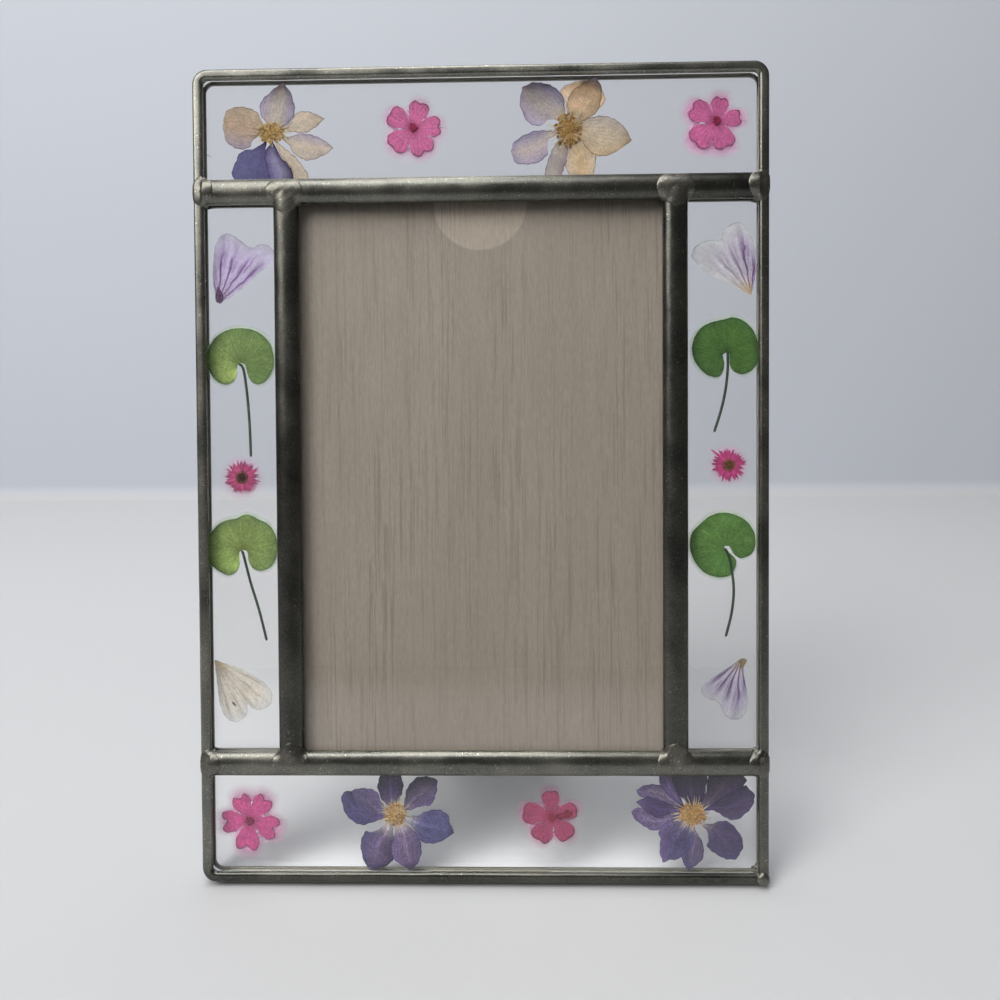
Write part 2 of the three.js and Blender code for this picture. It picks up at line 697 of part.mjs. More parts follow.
// Daisies: a ring of narrow rays.
const daisies = {
  daisy_left: { side: 'left', centre: [-65.8, 0.7], radius: 5 },
  daisy_right: { side: 'right', centre: [67, 3.2], radius: 4.9 },
};
const DAISY_RAYS = 26;
const DAISY_CUT = 0.86;

for (const [name, { side, centre, radius }] of Object.entries(daisies)) {
  addPiece(name, pressed([rayedOutline(centre, radius, DAISY_RAYS, DAISY_CUT)], side), 'pinkPetal');
}

// ---------------------------------------------------------------- on its standing surface

group.updateMatrixWorld(true);
const box = new THREE.Box3().setFromObject(group, true);
leaning.position.set(-(box.min.x + box.max.x) / 2, -(box.min.y + box.max.y) / 2, -box.min.z);
group.updateMatrixWorld(true);

export default group;
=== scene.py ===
# %% [markdown]
# # A pressed flower frame, piece by piece
# A small standing frame of leaded glass. Dark metal strips, called cames, hold four strips of
# double glass around a window for a print, and real flowers and leaves lie pressed in the glass.
# The construction model already has every piece at its size and place. This lesson gives each
# one its surface: it bends, solders, dries and stains them, and never moves them.

# %% Load the construction model
import math

import bmesh
import bpy
import numpy as np
from mathutils import Matrix, Vector


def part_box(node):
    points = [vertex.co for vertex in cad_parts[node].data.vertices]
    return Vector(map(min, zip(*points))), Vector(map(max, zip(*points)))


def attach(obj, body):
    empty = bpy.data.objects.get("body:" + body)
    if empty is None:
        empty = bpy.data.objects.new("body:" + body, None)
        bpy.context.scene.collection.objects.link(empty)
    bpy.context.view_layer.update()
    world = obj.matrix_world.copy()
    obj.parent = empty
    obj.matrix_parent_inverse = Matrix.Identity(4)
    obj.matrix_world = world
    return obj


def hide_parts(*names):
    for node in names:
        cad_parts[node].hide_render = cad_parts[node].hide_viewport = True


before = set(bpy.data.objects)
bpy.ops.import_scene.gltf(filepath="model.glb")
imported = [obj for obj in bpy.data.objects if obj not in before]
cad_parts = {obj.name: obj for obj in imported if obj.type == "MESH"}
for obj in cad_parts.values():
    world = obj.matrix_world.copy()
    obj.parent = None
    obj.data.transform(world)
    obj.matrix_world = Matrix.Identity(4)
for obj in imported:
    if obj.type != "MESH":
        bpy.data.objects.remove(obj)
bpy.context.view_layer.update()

print("pieces in the construction model:", len(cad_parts))

# %% [markdown]
# ## Measuring on the face
# The frame leans back, so room coordinates are awkward for placing petals. Everything below is
# measured in millimetres on the face instead: x to the right and y up from the middle of the
# frame, z from the middle of the glass towards the viewer. One function turns whole arrays of
# such points into room metres.

# %% From the face to the room
MM = 0.001
LEAN = math.radians(13)
low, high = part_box("outer_came")
FACE_MIDDLE = np.array((low + high) / 2)


def to_room(points):
    """Face millimetres to room metres: turn about X by the lean, then move to the middle."""
    x, y, z = np.moveaxis(np.asarray(points, float), -1, 0)
    back = y * math.sin(LEAN) - z * math.cos(LEAN)
    up = y * math.cos(LEAN) + z * math.sin(LEAN)
    return np.stack([x, back, up], -1) * MM + FACE_MIDDLE


print("middle of the face, in metres:", FACE_MIDDLE.round(4))

# %% [markdown]
# ## The camera
# The camera stands close, a little over 20 cm in front of the face, so its lens is short. It is
# aimed with a place, a target and a small roll, all measured on the face.

# %% Camera
EYE = (8.95, -2.11, 205.61)
TARGET = (5.015, -5.92, 2.75)
ROLL = math.radians(-0.349)
LENS = 27.07

eye, target, above = (Vector(to_room(p)) for p in (EYE, TARGET, (EYE[0], EYE[1] + 1, EYE[2])))
forward = (target - eye).normalized()
right = forward.cross(above - eye).normalized()
up = right.cross(forward)
right, up = (
    right * math.cos(ROLL) + up * math.sin(ROLL),
    up * math.cos(ROLL) - right * math.sin(ROLL),
)
camera_data = bpy.data.cameras.new("camera")
camera_data.lens = LENS
camera_data.sensor_width = 36
camera_data.clip_start = 0.01
camera = bpy.data.objects.new("camera", camera_data)
axes = Matrix((right, up, -forward)).transposed()
camera.matrix_world = Matrix.Translation(eye) @ axes.to_4x4()
bpy.context.scene.collection.objects.link(camera)
bpy.context.scene.camera = camera
print("camera at", [round(v, 3) for v in eye])

# %% [markdown]
# ## Meshes from arrays
# Nearly every piece here is a grid: two parameters go in, and a point comes out. The grid is
# worked out as one array, and one helper turns it into a mesh. Where a grid closes on itself
# or shrinks to a pole, its points coincide, so merging doubles closes it. An open end, such as
# the cut end of a bar, is closed with one flat face.

# %% A helper that makes a piece
MERGE = 2e-7
SHARP_ANGLE = math.radians(50)


def grid_faces(rows, columns, first=0):
    """Four-cornered faces of a grid of points, numbered row by row."""
    r, c = np.meshgrid(np.arange(rows - 1), np.arange(columns - 1), indexing="ij")
    corner = (r * columns + c).ravel() + first
    return np.stack([corner, corner + 1, corner + columns + 1, corner + columns], -1)


def make_piece(name, grids, material, replaces=(), body="frame"):
    """Joins grids into one mesh piece. A grid is a dict: points (rows, columns, 3) in face
    millimetres, uv (rows, columns, 2), and any other key is a value or colour at each point."""
    keys = [key for key in grids[0] if key not in ("points", "uv")]
    points, faces, uvs, values = [], [], [], {key: [] for key in keys}
    count = 0
    for grid in grids:
        rows, columns = grid["points"].shape[:2]
        faces.append(grid_faces(rows, columns, count))
        points.append(grid["points"].reshape(-1, 3))
        uvs.append(grid["uv"].reshape(-1, 2))
        for key in keys:
            values[key].append(np.broadcast_to(grid[key], (rows, columns, 4)).reshape(-1, 4))
        count += rows * columns
    points, faces, uvs = np.concatenate(points), np.concatenate(faces), np.concatenate(uvs)
    mesh = bpy.data.meshes.new(name)
    mesh.from_pydata(to_room(points), [], faces.tolist())
    layer = mesh.uv_layers.new(name="surface")
    layer.data.foreach_set("uv", uvs[faces.ravel()].astype(np.float32).ravel())
    for key in keys:
        attribute = mesh.attributes.new(key, "FLOAT_COLOR", "POINT")
        attribute.data.foreach_set("color", np.concatenate(values[key]).astype(np.float32).ravel())
    merged = bmesh.new()
    merged.from_mesh(mesh)
    bmesh.ops.remove_doubles(merged, verts=merged.verts, dist=MERGE)
    bmesh.ops.dissolve_degenerate(merged, edges=merged.edges, dist=MERGE)
    open_edges = [edge for edge in merged.edges if edge.is_boundary]
    if open_edges:
        bmesh.ops.holes_fill(merged, edges=open_edges)
    bmesh.ops.recalc_face_normals(merged, faces=merged.faces)
    merged.to_mesh(mesh)
    merged.free()
    mesh.polygons.foreach_set("use_smooth", np.ones(len(mesh.polygons), bool))
    mesh.set_sharp_from_angle(angle=SHARP_ANGLE)
    mesh.materials.append(material)
    piece = bpy.data.objects.new(name, mesh)
    bpy.context.scene.collection.objects.link(piece)
    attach(piece, body)
    if replaces:
        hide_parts(*replaces)
    return piece


def strip_uv(rows, columns):
    """The plain parameters of a grid, from 0 to 1 both ways."""
    return np.stack(np.meshgrid(np.linspace(0, 1, rows), np.linspace(0, 1, columns),
                                indexing="ij")[::-1], -1)


# %% [markdown]
# ## Finishes from nodes
# A finish is a chain of shader nodes. This small class keeps such a chain readable: each method
# adds one node and gives back its output, and a value may be a number, a colour or an output.

# %% A helper that makes a finish
class Finish:
    """One material and the nodes that work out its colour, roughness and relief."""

    def __init__(self, name):
        self.material = bpy.data.materials.new(name)
        self.material.use_nodes = True
        self.tree = self.material.node_tree
        self.shader = self.tree.nodes["Principled BSDF"]
        self.out = self.tree.nodes["Material Output"]

    def feed(self, socket, value):
        if isinstance(value, bpy.types.NodeSocket):
            self.tree.links.new(value, socket)
        else:
            socket.default_value = value

    def node(self, kind, inputs=None, **settings):
        node = self.tree.nodes.new("ShaderNode" + kind)
        for key, value in settings.items():
            setattr(node, key, value)
        for key, value in (inputs or {}).items():
            self.feed(node.inputs[key], value)
        return node

    def place(self, stretch=(1, 1, 1)):
        """The piece's own coordinates in metres, stretched."""
        where = self.node("TexCoord").outputs["Object"]
        return self.node("Mapping", {"Vector": where, "Scale": stretch}).outputs[0]

    def noise(self, where, scale, detail, rough, distortion=0.0):
        inputs = {"Vector": where, "Scale": scale, "Detail": detail, "Roughness": rough,
                  "Distortion": distortion}
        return self.node("TexNoise", inputs).outputs["Fac"]

    def cell_walls(self, where, scale):
        """The distance from the walls of cells of random size."""
        inputs = {"Vector": where, "Scale": scale}
        return self.node("TexVoronoi", inputs, feature="DISTANCE_TO_EDGE").outputs[0]

    def calc(self, operation, a, b=0.5, clamp=False):
        return self.node("Math", {0: a, 1: b}, operation=operation, use_clamp=clamp).outputs[0]

    def times(self, a, b):
        return self.calc("MULTIPLY", a, b)

    def plus(self, a, b):
        return self.calc("ADD", a, b)

    def ramp(self, value, start, end, low=0.0, high=1.0):
        """`low` up to `start`, `high` from `end`, and a soft step between them."""
        inputs = {0: value, 1: start, 2: end, 3: low, 4: high}
        return self.node("MapRange", inputs, interpolation_type="SMOOTHSTEP").outputs[0]

    def mix(self, factor, a, b, blend="MIX"):
        node = self.node("Mix", data_type="RGBA", blend_type=blend)
        for index, value in ((0, factor), (6, a), (7, b)):
            self.feed(node.inputs[index], value)
        return node.outputs[2]

    def tinted(self, colour, by):
        """One colour times another."""
        return self.mix(1.0, colour, by, "MULTIPLY")

    def shade(self, colour, value):
        """A colour times a number, which is made a grey first."""
        grey = self.node("CombineColor", {0: value, 1: value, 2: value}).outputs[0]
        return self.tinted(colour, grey)

    def attribute(self, name):
        return self.node("Attribute", attribute_name=name).outputs["Color"]

    def bump(self, height, distance, strength):
        inputs = {"Height": height, "Distance": distance, "Strength": strength}
        return self.node("Bump", inputs).outputs[0]

    def set(self, **inputs):
        """Feeds the main shader: an underscore stands for a space in a socket's name."""
        for key, value in inputs.items():
            self.feed(self.shader.inputs[key.replace("_", " ")], value)
        return self.material


def rgb(red, green, blue):
    """A colour as a paint chart gives it (0 to 255), in the linear values that shaders use."""
    chart = np.array([red, green, blue]) / 255
    linear = np.where(chart <= 0.04045, chart / 12.92, ((chart + 0.055) / 1.055) ** 2.4)
    return (*(float(v) for v in linear), 1.0)


# %% [markdown]
# ## Floor, wall and light
# The frame stands on a pale floor that sweeps up into a pale wall 40 cm behind it. The light is
# a big soft window up on the left and a softer panel overhead, with a narrow roof window beside
# it. The room in front is dim, so the rounded bars, which mirror it, look dark except where they
# catch a light. The narrow one makes the short bright streak on the upper bars.

# %% Floor and wall
FLOOR_BACK = 0.4
SWEEP_RADIUS = 0.012
ROOM_HALF_WIDTH = 2.2
ROOM_FRONT = -5.0
WALL_TOP = 2.0
PAINT_CHANGE = (0.001, 0.008)


def sweep_line(steps=12):
    """The side view of floor and wall: a straight, a quarter circle and a straight."""
    turn = np.linspace(0, math.pi / 2, steps)
    arc = np.stack([FLOOR_BACK + SWEEP_RADIUS * np.sin(turn),
                    SWEEP_RADIUS * (1 - np.cos(turn))], -1)
    return np.concatenate([[[ROOM_FRONT, 0]], arc, [[FLOOR_BACK + SWEEP_RADIUS, WALL_TOP]]])


line = sweep_line()
across = np.array([-ROOM_HALF_WIDTH, ROOM_HALF_WIDTH])
sweep_points = np.stack([np.broadcast_to(across, (len(line), 2)),
                         np.repeat(line[:, :1], 2, 1), np.repeat(line[:, 1:], 2, 1)], -1)
sweep_mesh = bpy.data.meshes.new("room_sweep")
sweep_mesh.from_pydata(sweep_points.reshape(-1, 3), [],
                       grid_faces(len(line), 2)[:, ::-1].tolist())
sweep_mesh.polygons.foreach_set("use_smooth", np.ones(len(sweep_mesh.polygons), bool))
room_sweep = bpy.data.objects.new("room_sweep", sweep_mesh)
bpy.context.scene.collection.objects.link(room_sweep)

paint = Finish("room_paint")
height = paint.node("SeparateXYZ", {0: paint.node("TexCoord").outputs["Object"]}).outputs[2]
wall_share = paint.ramp(height, *PAINT_CHANGE)
paint.set(Base_Color=paint.mix(wall_share, rgb(211, 212, 214), rgb(211, 215, 224)),
          Roughness=0.8)
sweep_mesh.materials.append(paint.material)
print("floor reaches", FLOOR_BACK, "m behind the frame")

# %% Lights
bpy.context.scene.view_settings.view_transform = "Standard"


def window_light(name, place, aim, size, watts, colour):
    """A soft rectangular light at `place`, turned towards `aim`, all in room metres."""
    data = bpy.data.lights.new(name, "AREA")
    data.shape = "RECTANGLE"
    data.size, data.size_y = size
    data.energy = watts
    data.color = colour
    lamp = bpy.data.objects.new(name, data)
    lamp.location = place
    turn = (Vector(aim) - Vector(place)).to_track_quat("-Z", "Y")
    lamp.rotation_euler = turn.to_euler()
    bpy.context.scene.collection.objects.link(lamp)
    return lamp


LIGHTS = {
    "window": ((-1.0, -0.88, 1.27), (0, 0, 0.1), (0.85, 0.85), 13.5, (1.0, 0.99, 0.97)),
    "ceiling_panel": ((-0.2, -0.4, 1.3), (-0.05, 0.05, 0.1), (0.8, 0.6), 7.6, (1, 1, 1)),
    "roof_window": ((-0.07, 0.1, 1.25), (-0.02, 0.05, 0.1), (0.11, 0.3), 1.9, (1, 0.98, 0.94)),
}
for name, row in LIGHTS.items():
    window_light(name, *row)

world = bpy.data.worlds.new("room_glow")
world.use_nodes = True
background = world.node_tree.nodes["Background"]
background.inputs["Color"].default_value = rgb(228, 227, 224)
background.inputs["Strength"].default_value = 0.16
bpy.context.scene.world = world
print("lights:", list(LIGHTS))

# %% [markdown]
# ## The metal of the cames
# Cames are soft metal strips, darkened with a patina. The patina is nearly black with an olive
# tint, and fine specks cover it all. Three noises at different sizes make that: broad clouds, a
# fine grain, and specks.

# %% Patinated came
BARE_ZINC = rgb(150, 148, 138)


def patina(name, dark, light, speck, rough):
    """Dark patina: clouds mix two greys, specks lighten it, and the clouds disturb the roughness.
    An attribute says where the metal is bare (red), and its green is a painted shade that makes
    the patina lighter or darker, for how much light each came catches."""
    metal = Finish(name)
    where = metal.place()
    wear_and_shade = metal.node("SeparateColor", {0: metal.attribute("wear_and_shade")}).outputs
    bare = wear_and_shade[0]
    clouds = metal.noise(where, 70, 4, 0.55)
    grain = metal.noise(where, 3200, 3, 0.6)
    drops = metal.noise(where, 1900, 2, 0.5)
    colour = metal.mix(metal.ramp(clouds, 0.3, 0.72), dark, light)
    colour = metal.mix(metal.ramp(drops, 0.66, 0.74, 0, 0.75), colour, speck)
    colour = metal.shade(colour, metal.ramp(grain, 0.3, 0.7, 0.7, 1.25))
    # Painted shade: the attribute's green makes each came's patina lighter or darker, for how much light
    # it catches.
    colour = metal.shade(colour, metal.times(wear_and_shade[1], 2.0))
    colour = metal.mix(bare, colour, BARE_ZINC)
    roughness = metal.plus(metal.ramp(clouds, 0.3, 0.7, -0.05, 0.07), rough)
    roughness = metal.plus(roughness, metal.times(bare, 0.25))
    relief = metal.plus(metal.times(grain, 0.6), clouds)
    return metal.set(Base_Color=colour, Roughness=roughness, Metallic=1.0,
                     Normal=metal.bump(relief, 0.00006, 0.4))


came_metal = patina("came_patina", rgb(98, 98, 93), rgb(122, 121, 113), rgb(195, 192, 180), 0.31)
solder_metal = patina("solder_patina", rgb(100, 99, 94), rgb(130, 128, 118),
                      rgb(228, 224, 206), 0.36)
print("metal finishes:", came_metal.name, solder_metal.name)

# %% [markdown]
# ## The section of a came
# A straight came has an H section, with glass in both its channels. The crown of each flange is
# half an ellipse. The patina never reached into the channels, so an attribute marks the zinc
# there as bare. Real cames are pulled and tapped by hand, so the crown is never quite even: a few
# slow sine waves raise and lower it by some hundredths of a millimetre, which is enough to make
# the reflections wander.

# %% The H section, its wear and its painted shade
CHANNEL = 2.75
PATINA_FROM = 3.1
PATINA_FADE = 0.3
CAME_HALF_FACE = 3.35
REAR_HALF_FACE = 2.35
CAME_HALF_WEB = 0.8
CAME_LIP = 3.15
CAME_CROWN = 2.0
CROSSBAR_Y = 77.3
UPRIGHT_X = 52.1
CROSSBAR_HALF = 73.9
UPRIGHT_HALF = 73.65


def came_section(steps=30):
    """(across, depth) all round the H: two crowned flanges, the rear one narrower, and a web."""
    turn = np.linspace(0, math.pi, steps)

    def flange(half):
        crown = np.stack([half * np.cos(turn), -CAME_LIP - CAME_CROWN * np.sin(turn)], -1)
        return np.concatenate([[[CAME_HALF_WEB, -CHANNEL], [half, -CHANNEL]], crown,
                               [[-half, -CHANNEL], [-CAME_HALF_WEB, -CHANNEL]]])

    whole = np.concatenate([flange(REAR_HALF_FACE), flange(CAME_HALF_FACE) * [-1, -1]])
    return np.concatenate([whole, whole[:1]])


def wear_and_shade_at(depth, tone):
    """At each point, as a colour: red is 1 inside the channels, where the zinc is bare, and
    green is half of `tone`, a painted shade that makes the patina lighter or darker."""
    bare = np.clip((PATINA_FROM - np.abs(depth)) / PATINA_FADE, 0, 1)
    return np.stack([bare, tone / 2 + 0 * bare, 0 * bare, np.ones_like(bare)], -1)


def hand_made(along, around, seed, size):
    """Slow waves over a surface: three sines of both parameters, with phases from the seed."""
    phases = np.random.default_rng(seed).uniform(0, 2 * math.pi, 4)
    waves = np.sin(along * 0.21 + phases[0] + 0.6 * np.sin(around * 0.9 + phases[1]))
    waves = waves + 0.6 * np.sin(along * 0.53 + around * 1.1 + phases[2])
    waves = waves + 0.35 * np.sin(along * 1.37 - around * 1.9 + phases[3])
    return size * waves


print("points round the section:", len(came_section()))

# %% [markdown]
# ## Straight cames
# A bar is its section carried along a line. The two crossbars run from side to side and the two
# uprights between them. The uprights are painted darker, and each bar is painted lighter or
# darker along its length: painted shade and painted light, for how much of the lamps each bar
# mirrors. The upper crossbar has no lower rear lip over the window, because the print slides in
# there.

# %% The straight bars
def straight_came(name, middle, half_length, upright, seed, painted_shades, open_from=None):
    """The section at stations along the bar, with its patina painted lighter or darker at even
    steps from one end to the other: painted light and shade. `open_from` is how far from the
    middle the lower rear lip is missing, where the print slides in."""
    section = came_section()
    stations = np.linspace(-half_length, half_length, 110)
    if open_from:
        edge = [-open_from, -open_from + 1e-3, open_from - 1e-3, open_from]
        stations = np.sort(np.concatenate([stations, edge]))
    along, across = np.meshgrid(stations, section[:, 0], indexing="ij")
    depth = np.broadcast_to(section[:, 1], along.shape)
    crowned = np.clip((np.abs(depth) - CAME_LIP) / CAME_CROWN, 0, 1) ** 0.5
    depth = depth + np.sign(depth) * crowned * hand_made(along, across, seed, 0.035)
    if open_from:
        missing = (np.abs(along) < open_from) & (depth < 0)
        across = np.where(missing, np.maximum(across, -CAME_HALF_WEB), across)
    if upright:
        points = np.stack([middle + across, along, depth], -1)
    else:
        points = np.stack([along, middle + across, depth], -1)
    # Painted light and shade: the patina is made lighter or darker along the bar.
    tone = np.interp(along, np.linspace(-half_length, half_length, len(painted_shades)), painted_shades)
    grid = {"points": points, "uv": strip_uv(*along.shape), "wear_and_shade": wear_and_shade_at(depth, tone)}
    return make_piece(name + "_came", [grid], came_metal, [name])


PRINT_SLOT_HALF = UPRIGHT_X - CAME_HALF_FACE - 0.3
# Rows: middle, half length, upright, seed, painted shade along the bar, and the print slot.
CAMES = {
    "upper_crossbar": (CROSSBAR_Y, CROSSBAR_HALF, False, 11, (0.95, 1.05, 0.55, 0.46),
                       PRINT_SLOT_HALF),
    "lower_crossbar": (-CROSSBAR_Y, CROSSBAR_HALF, False, 12, (1.15, 1.15, 1.05)),
    "left_upright": (-UPRIGHT_X, UPRIGHT_HALF, True, 13, (0.58, 0.56, 0.66)),
    "right_upright": (UPRIGHT_X, UPRIGHT_HALF, True, 14, (0.64, 0.64, 0.66)),
}
for name, row in CAMES.items():
    bar = straight_came(name, *row)
    print(bar.name, len(bar.data.polygons), "faces")

# %% [markdown]
# ## The edge came
# The edge came is a U section carried round a rounded rectangle. Three corners are bends and the
# fourth, at the bottom right, is a mitre that is nearly square. A bend is not the same line for
# each point of the section: the inner points turn on a smaller radius. So each point of the
# section gets a rounded rectangle of its own, inset by its distance from the outside. Its patina
# is painted lightest on the left and darkest along the bottom: painted light and shade.

# %% The edge came
HALF_WIDTH = 77
HALF_HEIGHT = 110
EDGE_FACE = 2.8
EDGE_REAR_FACE = 1.8
EDGE_HALF_DEPTH = 3.95
EDGE_WALL = 1.0
EDGE_ROUNDING = 0.9
CORNER_RADII = {(1, 1): 4.0, (-1, 1): 4.0, (-1, -1): 4.0, (1, -1): 1.2}
TIGHTEST_TURN = 0.4


def heading(angle):
    """Unit vectors in the directions of the angles: (cosine, sine)."""
    return np.stack([np.cos(angle), np.sin(angle)], -1)


def rounded_ring(inset, bend_steps=12, side_steps=60):
    """A rounded rectangle, inset from the outside: arcs about the corners, straights between."""
    stretches, arcs = [], []
    for quarter, ((side_x, side_y), corner_radius) in enumerate(CORNER_RADII.items()):
        radius = max(corner_radius - inset, TIGHTEST_TURN)
        turn = np.radians(90 * quarter + np.linspace(0, 90, bend_steps))
        middle = np.array([side_x * (HALF_WIDTH - inset - radius),
                           side_y * (HALF_HEIGHT - inset - radius)])
        arcs.append(middle + radius * heading(turn))
    for arc, following in zip(arcs, arcs[1:] + arcs[:1]):
        share = np.linspace(0, 1, side_steps)[1:-1, None]
        stretches += [arc, arc[-1] * (1 - share) + following[0] * share]
    ring = np.concatenate(stretches)
    return np.concatenate([ring, ring[:1]])


def edge_profile(steps=9):
    """(inset, depth) all round the U, from the bottom of the channel over the front flange,
    round the outside and back over the rear flange."""
    turn = np.linspace(0, math.pi / 2, steps)
    outer_x = EDGE_ROUNDING * (1 - np.sin(turn))
    rise = EDGE_HALF_DEPTH - EDGE_ROUNDING * (1 - np.sin(turn))
    fall = EDGE_HALF_DEPTH - EDGE_ROUNDING * (1 - np.cos(turn))

    def flange(face):
        inner_x = face - EDGE_ROUNDING * (1 - np.cos(turn))
        return np.concatenate([[[EDGE_WALL, CHANNEL], [face, CHANNEL]],
                               np.stack([inner_x, rise], -1), np.stack([outer_x, fall], -1)])

    whole = np.concatenate([flange(EDGE_FACE), flange(EDGE_REAR_FACE)[::-1] * [1, -1]])
    return np.concatenate([whole, whole[:1]])


profile = edge_profile()
rings = np.stack([rounded_ring(inset) for inset, _ in profile], 1)
depth = np.broadcast_to(profile[:, 1], rings.shape[:2])
length = np.concatenate([[0], np.cumsum(np.linalg.norm(np.diff(rings[:, 0], axis=0), axis=1))])
along, around = np.meshgrid(length, np.arange(len(profile)) * 0.4, indexing="ij")
fade = np.sin(math.pi * np.linspace(0, 1, len(length)))[:, None]
waves = hand_made(along, around, 21, 0.03) * fade
on_flange = np.abs(depth) > CHANNEL + 0.05
depth = depth + np.sign(depth) * waves * on_flange
side, rise = rings[..., 0] / HALF_WIDTH, rings[..., 1] / HALF_HEIGHT
on_ends = np.clip((np.abs(rise) - 0.95) / 0.04, 0, 1)
# Painted light and shade: the patina is made lighter on the left and the top, darker on the right and the
# bottom.
tone = (1 - on_ends) * (1.26 - 0.22 * side) + on_ends * (0.9 + 0.36 * rise)
edge_grid = {"points": np.concatenate([rings, depth[..., None]], -1),
             "uv": strip_uv(*depth.shape), "wear_and_shade": wear_and_shade_at(depth, tone)}
edge_came = make_piece("edge_came", [edge_grid], came_metal, ["outer_came"])
print(edge_came.name, "runs", round(float(length[-1])), "mm round the frame")

# %% [markdown]
# ## Solder
# Each joint of the cames is run over with solder, front and back. It lies on the bars as a low
# dome with its own wandering outline, and it is fused to them. A joint is a polar grid: the
# radius in each direction comes from a few listed numbers, and the underside follows the
# bars and lies just inside them. The top is a skin stretched over the bars, smoothed again and
# again but never below them, with a dome added.

# %% The surface that solder lies on
def bar_height(x, y, half, edge_face):
    """The surface of the cames above the middle of the glass: the highest crown at each place.
    `half` is half the face of a bar and `edge_face` the face of the edge came."""
    def crown(offset):
        return CAME_LIP + CAME_CROWN * np.sqrt(np.clip(1 - (offset / half) ** 2, 0, 1))

    level = np.full(np.shape(x), CHANNEL - 0.2)
    crossbar = np.abs(np.abs(y) - CROSSBAR_Y)
    upright = np.abs(np.abs(x) - UPRIGHT_X)
    on_crossbar = (crossbar < half) & (np.abs(x) < CROSSBAR_HALF)
    on_upright = (upright < half) & (np.abs(y) < CROSSBAR_Y)
    level = np.where(on_crossbar, np.maximum(level, crown(crossbar)), level)
    level = np.where(on_upright, np.maximum(level, crown(upright)), level)
    out = np.maximum(np.abs(x) - HALF_WIDTH, np.abs(y) - HALF_HEIGHT) + edge_face
    edge = EDGE_HALF_DEPTH - 0.25 * np.clip(np.abs(out - edge_face / 2) - 0.5, 0, 1) ** 2
    return np.where((out > 0) & (out < edge_face), np.maximum(level, edge), level)


def stretched_skin(ground, passes=60):
    """A skin over a polar grid: each point becomes the mean of its neighbours along the ray and
    round the ring, weighted 1, 2, 1, and is lifted back to the ground wherever it sinks below."""
    skin = ground.copy()
    for _ in range(passes):
        skin[1:-1] = (skin[:-2] + 2 * skin[1:-1] + skin[2:]) / 4
        ring = (np.roll(skin[:, :-1], 1, 1) + 2 * skin[:, :-1] + np.roll(skin[:, :-1], -1, 1)) / 4
        skin[1:-1, :-1] = ring[1:-1]
        skin[:, -1] = skin[:, 0]
        skin[0] = skin[1].mean()
        skin = np.maximum(skin, ground)
    return skin


def smooth_ring(values, width):
    """A closed row of values, averaged over `width` neighbours with bell-shaped weights."""
    around = np.concatenate([values[-width:-1], values, values[1:width]])
    bell = np.hanning(width) / np.hanning(width).sum()
    return np.convolve(around, bell, "same")[width - 1:1 - width]


print("crown of a bar at its middle:", float(bar_height(0, CROSSBAR_Y, CAME_HALF_FACE, EDGE_FACE)))

# %% Solder joints
UNDERSIDE_DEPTH = 0.3


def solder(name, centre, reach, dome, seed, side=1):
    """`reach` is the radius in eight directions from the right, anticlockwise. The dome falls
    from `dome` in the middle to nothing at the outline, steeply at the end."""
    turns = np.linspace(0, 2 * math.pi, 73)
    knots = np.linspace(0, 2 * math.pi, 9)
    fine = np.linspace(0, 2 * math.pi, 577)
    soft = smooth_ring(np.interp(fine, knots, [*reach, reach[0]]), 41)
    outline = np.interp(turns, fine, soft) * (1 + hand_made(turns * 6, turns * 0, seed, 0.012))
    outline[-1] = outline[0]
    share = np.linspace(0, 1, 22)
    radius = share[:, None] * outline
    x = centre[0] + radius * np.cos(turns)
    y = centre[1] + radius * np.sin(turns)
    faces = (CAME_HALF_FACE, EDGE_FACE) if side == 1 else (REAR_HALF_FACE, EDGE_REAR_FACE)
    bars_below = bar_height(x, y, *faces)
    ripple = 1 + hand_made(x * 1.5, y * 1.4, seed, 0.06)
    top = stretched_skin(bars_below) + dome * (1 - share[:, None] ** 2.4) ** 0.6 * ripple
    under = bars_below - UNDERSIDE_DEPTH * (1 - share[:, None] ** 8)
    uv, wear_and_shade = strip_uv(*x.shape), wear_and_shade_at(np.full(x.shape, CAME_LIP + CAME_CROWN), 1.0)
    front = {"points": np.stack([x, y, side * top], -1), "uv": uv, "wear_and_shade": wear_and_shade}
    rear = {"points": np.stack([x, y, side * under], -1), "uv": uv, "wear_and_shade": wear_and_shade}
    return make_piece(name, [front, rear], solder_metal)


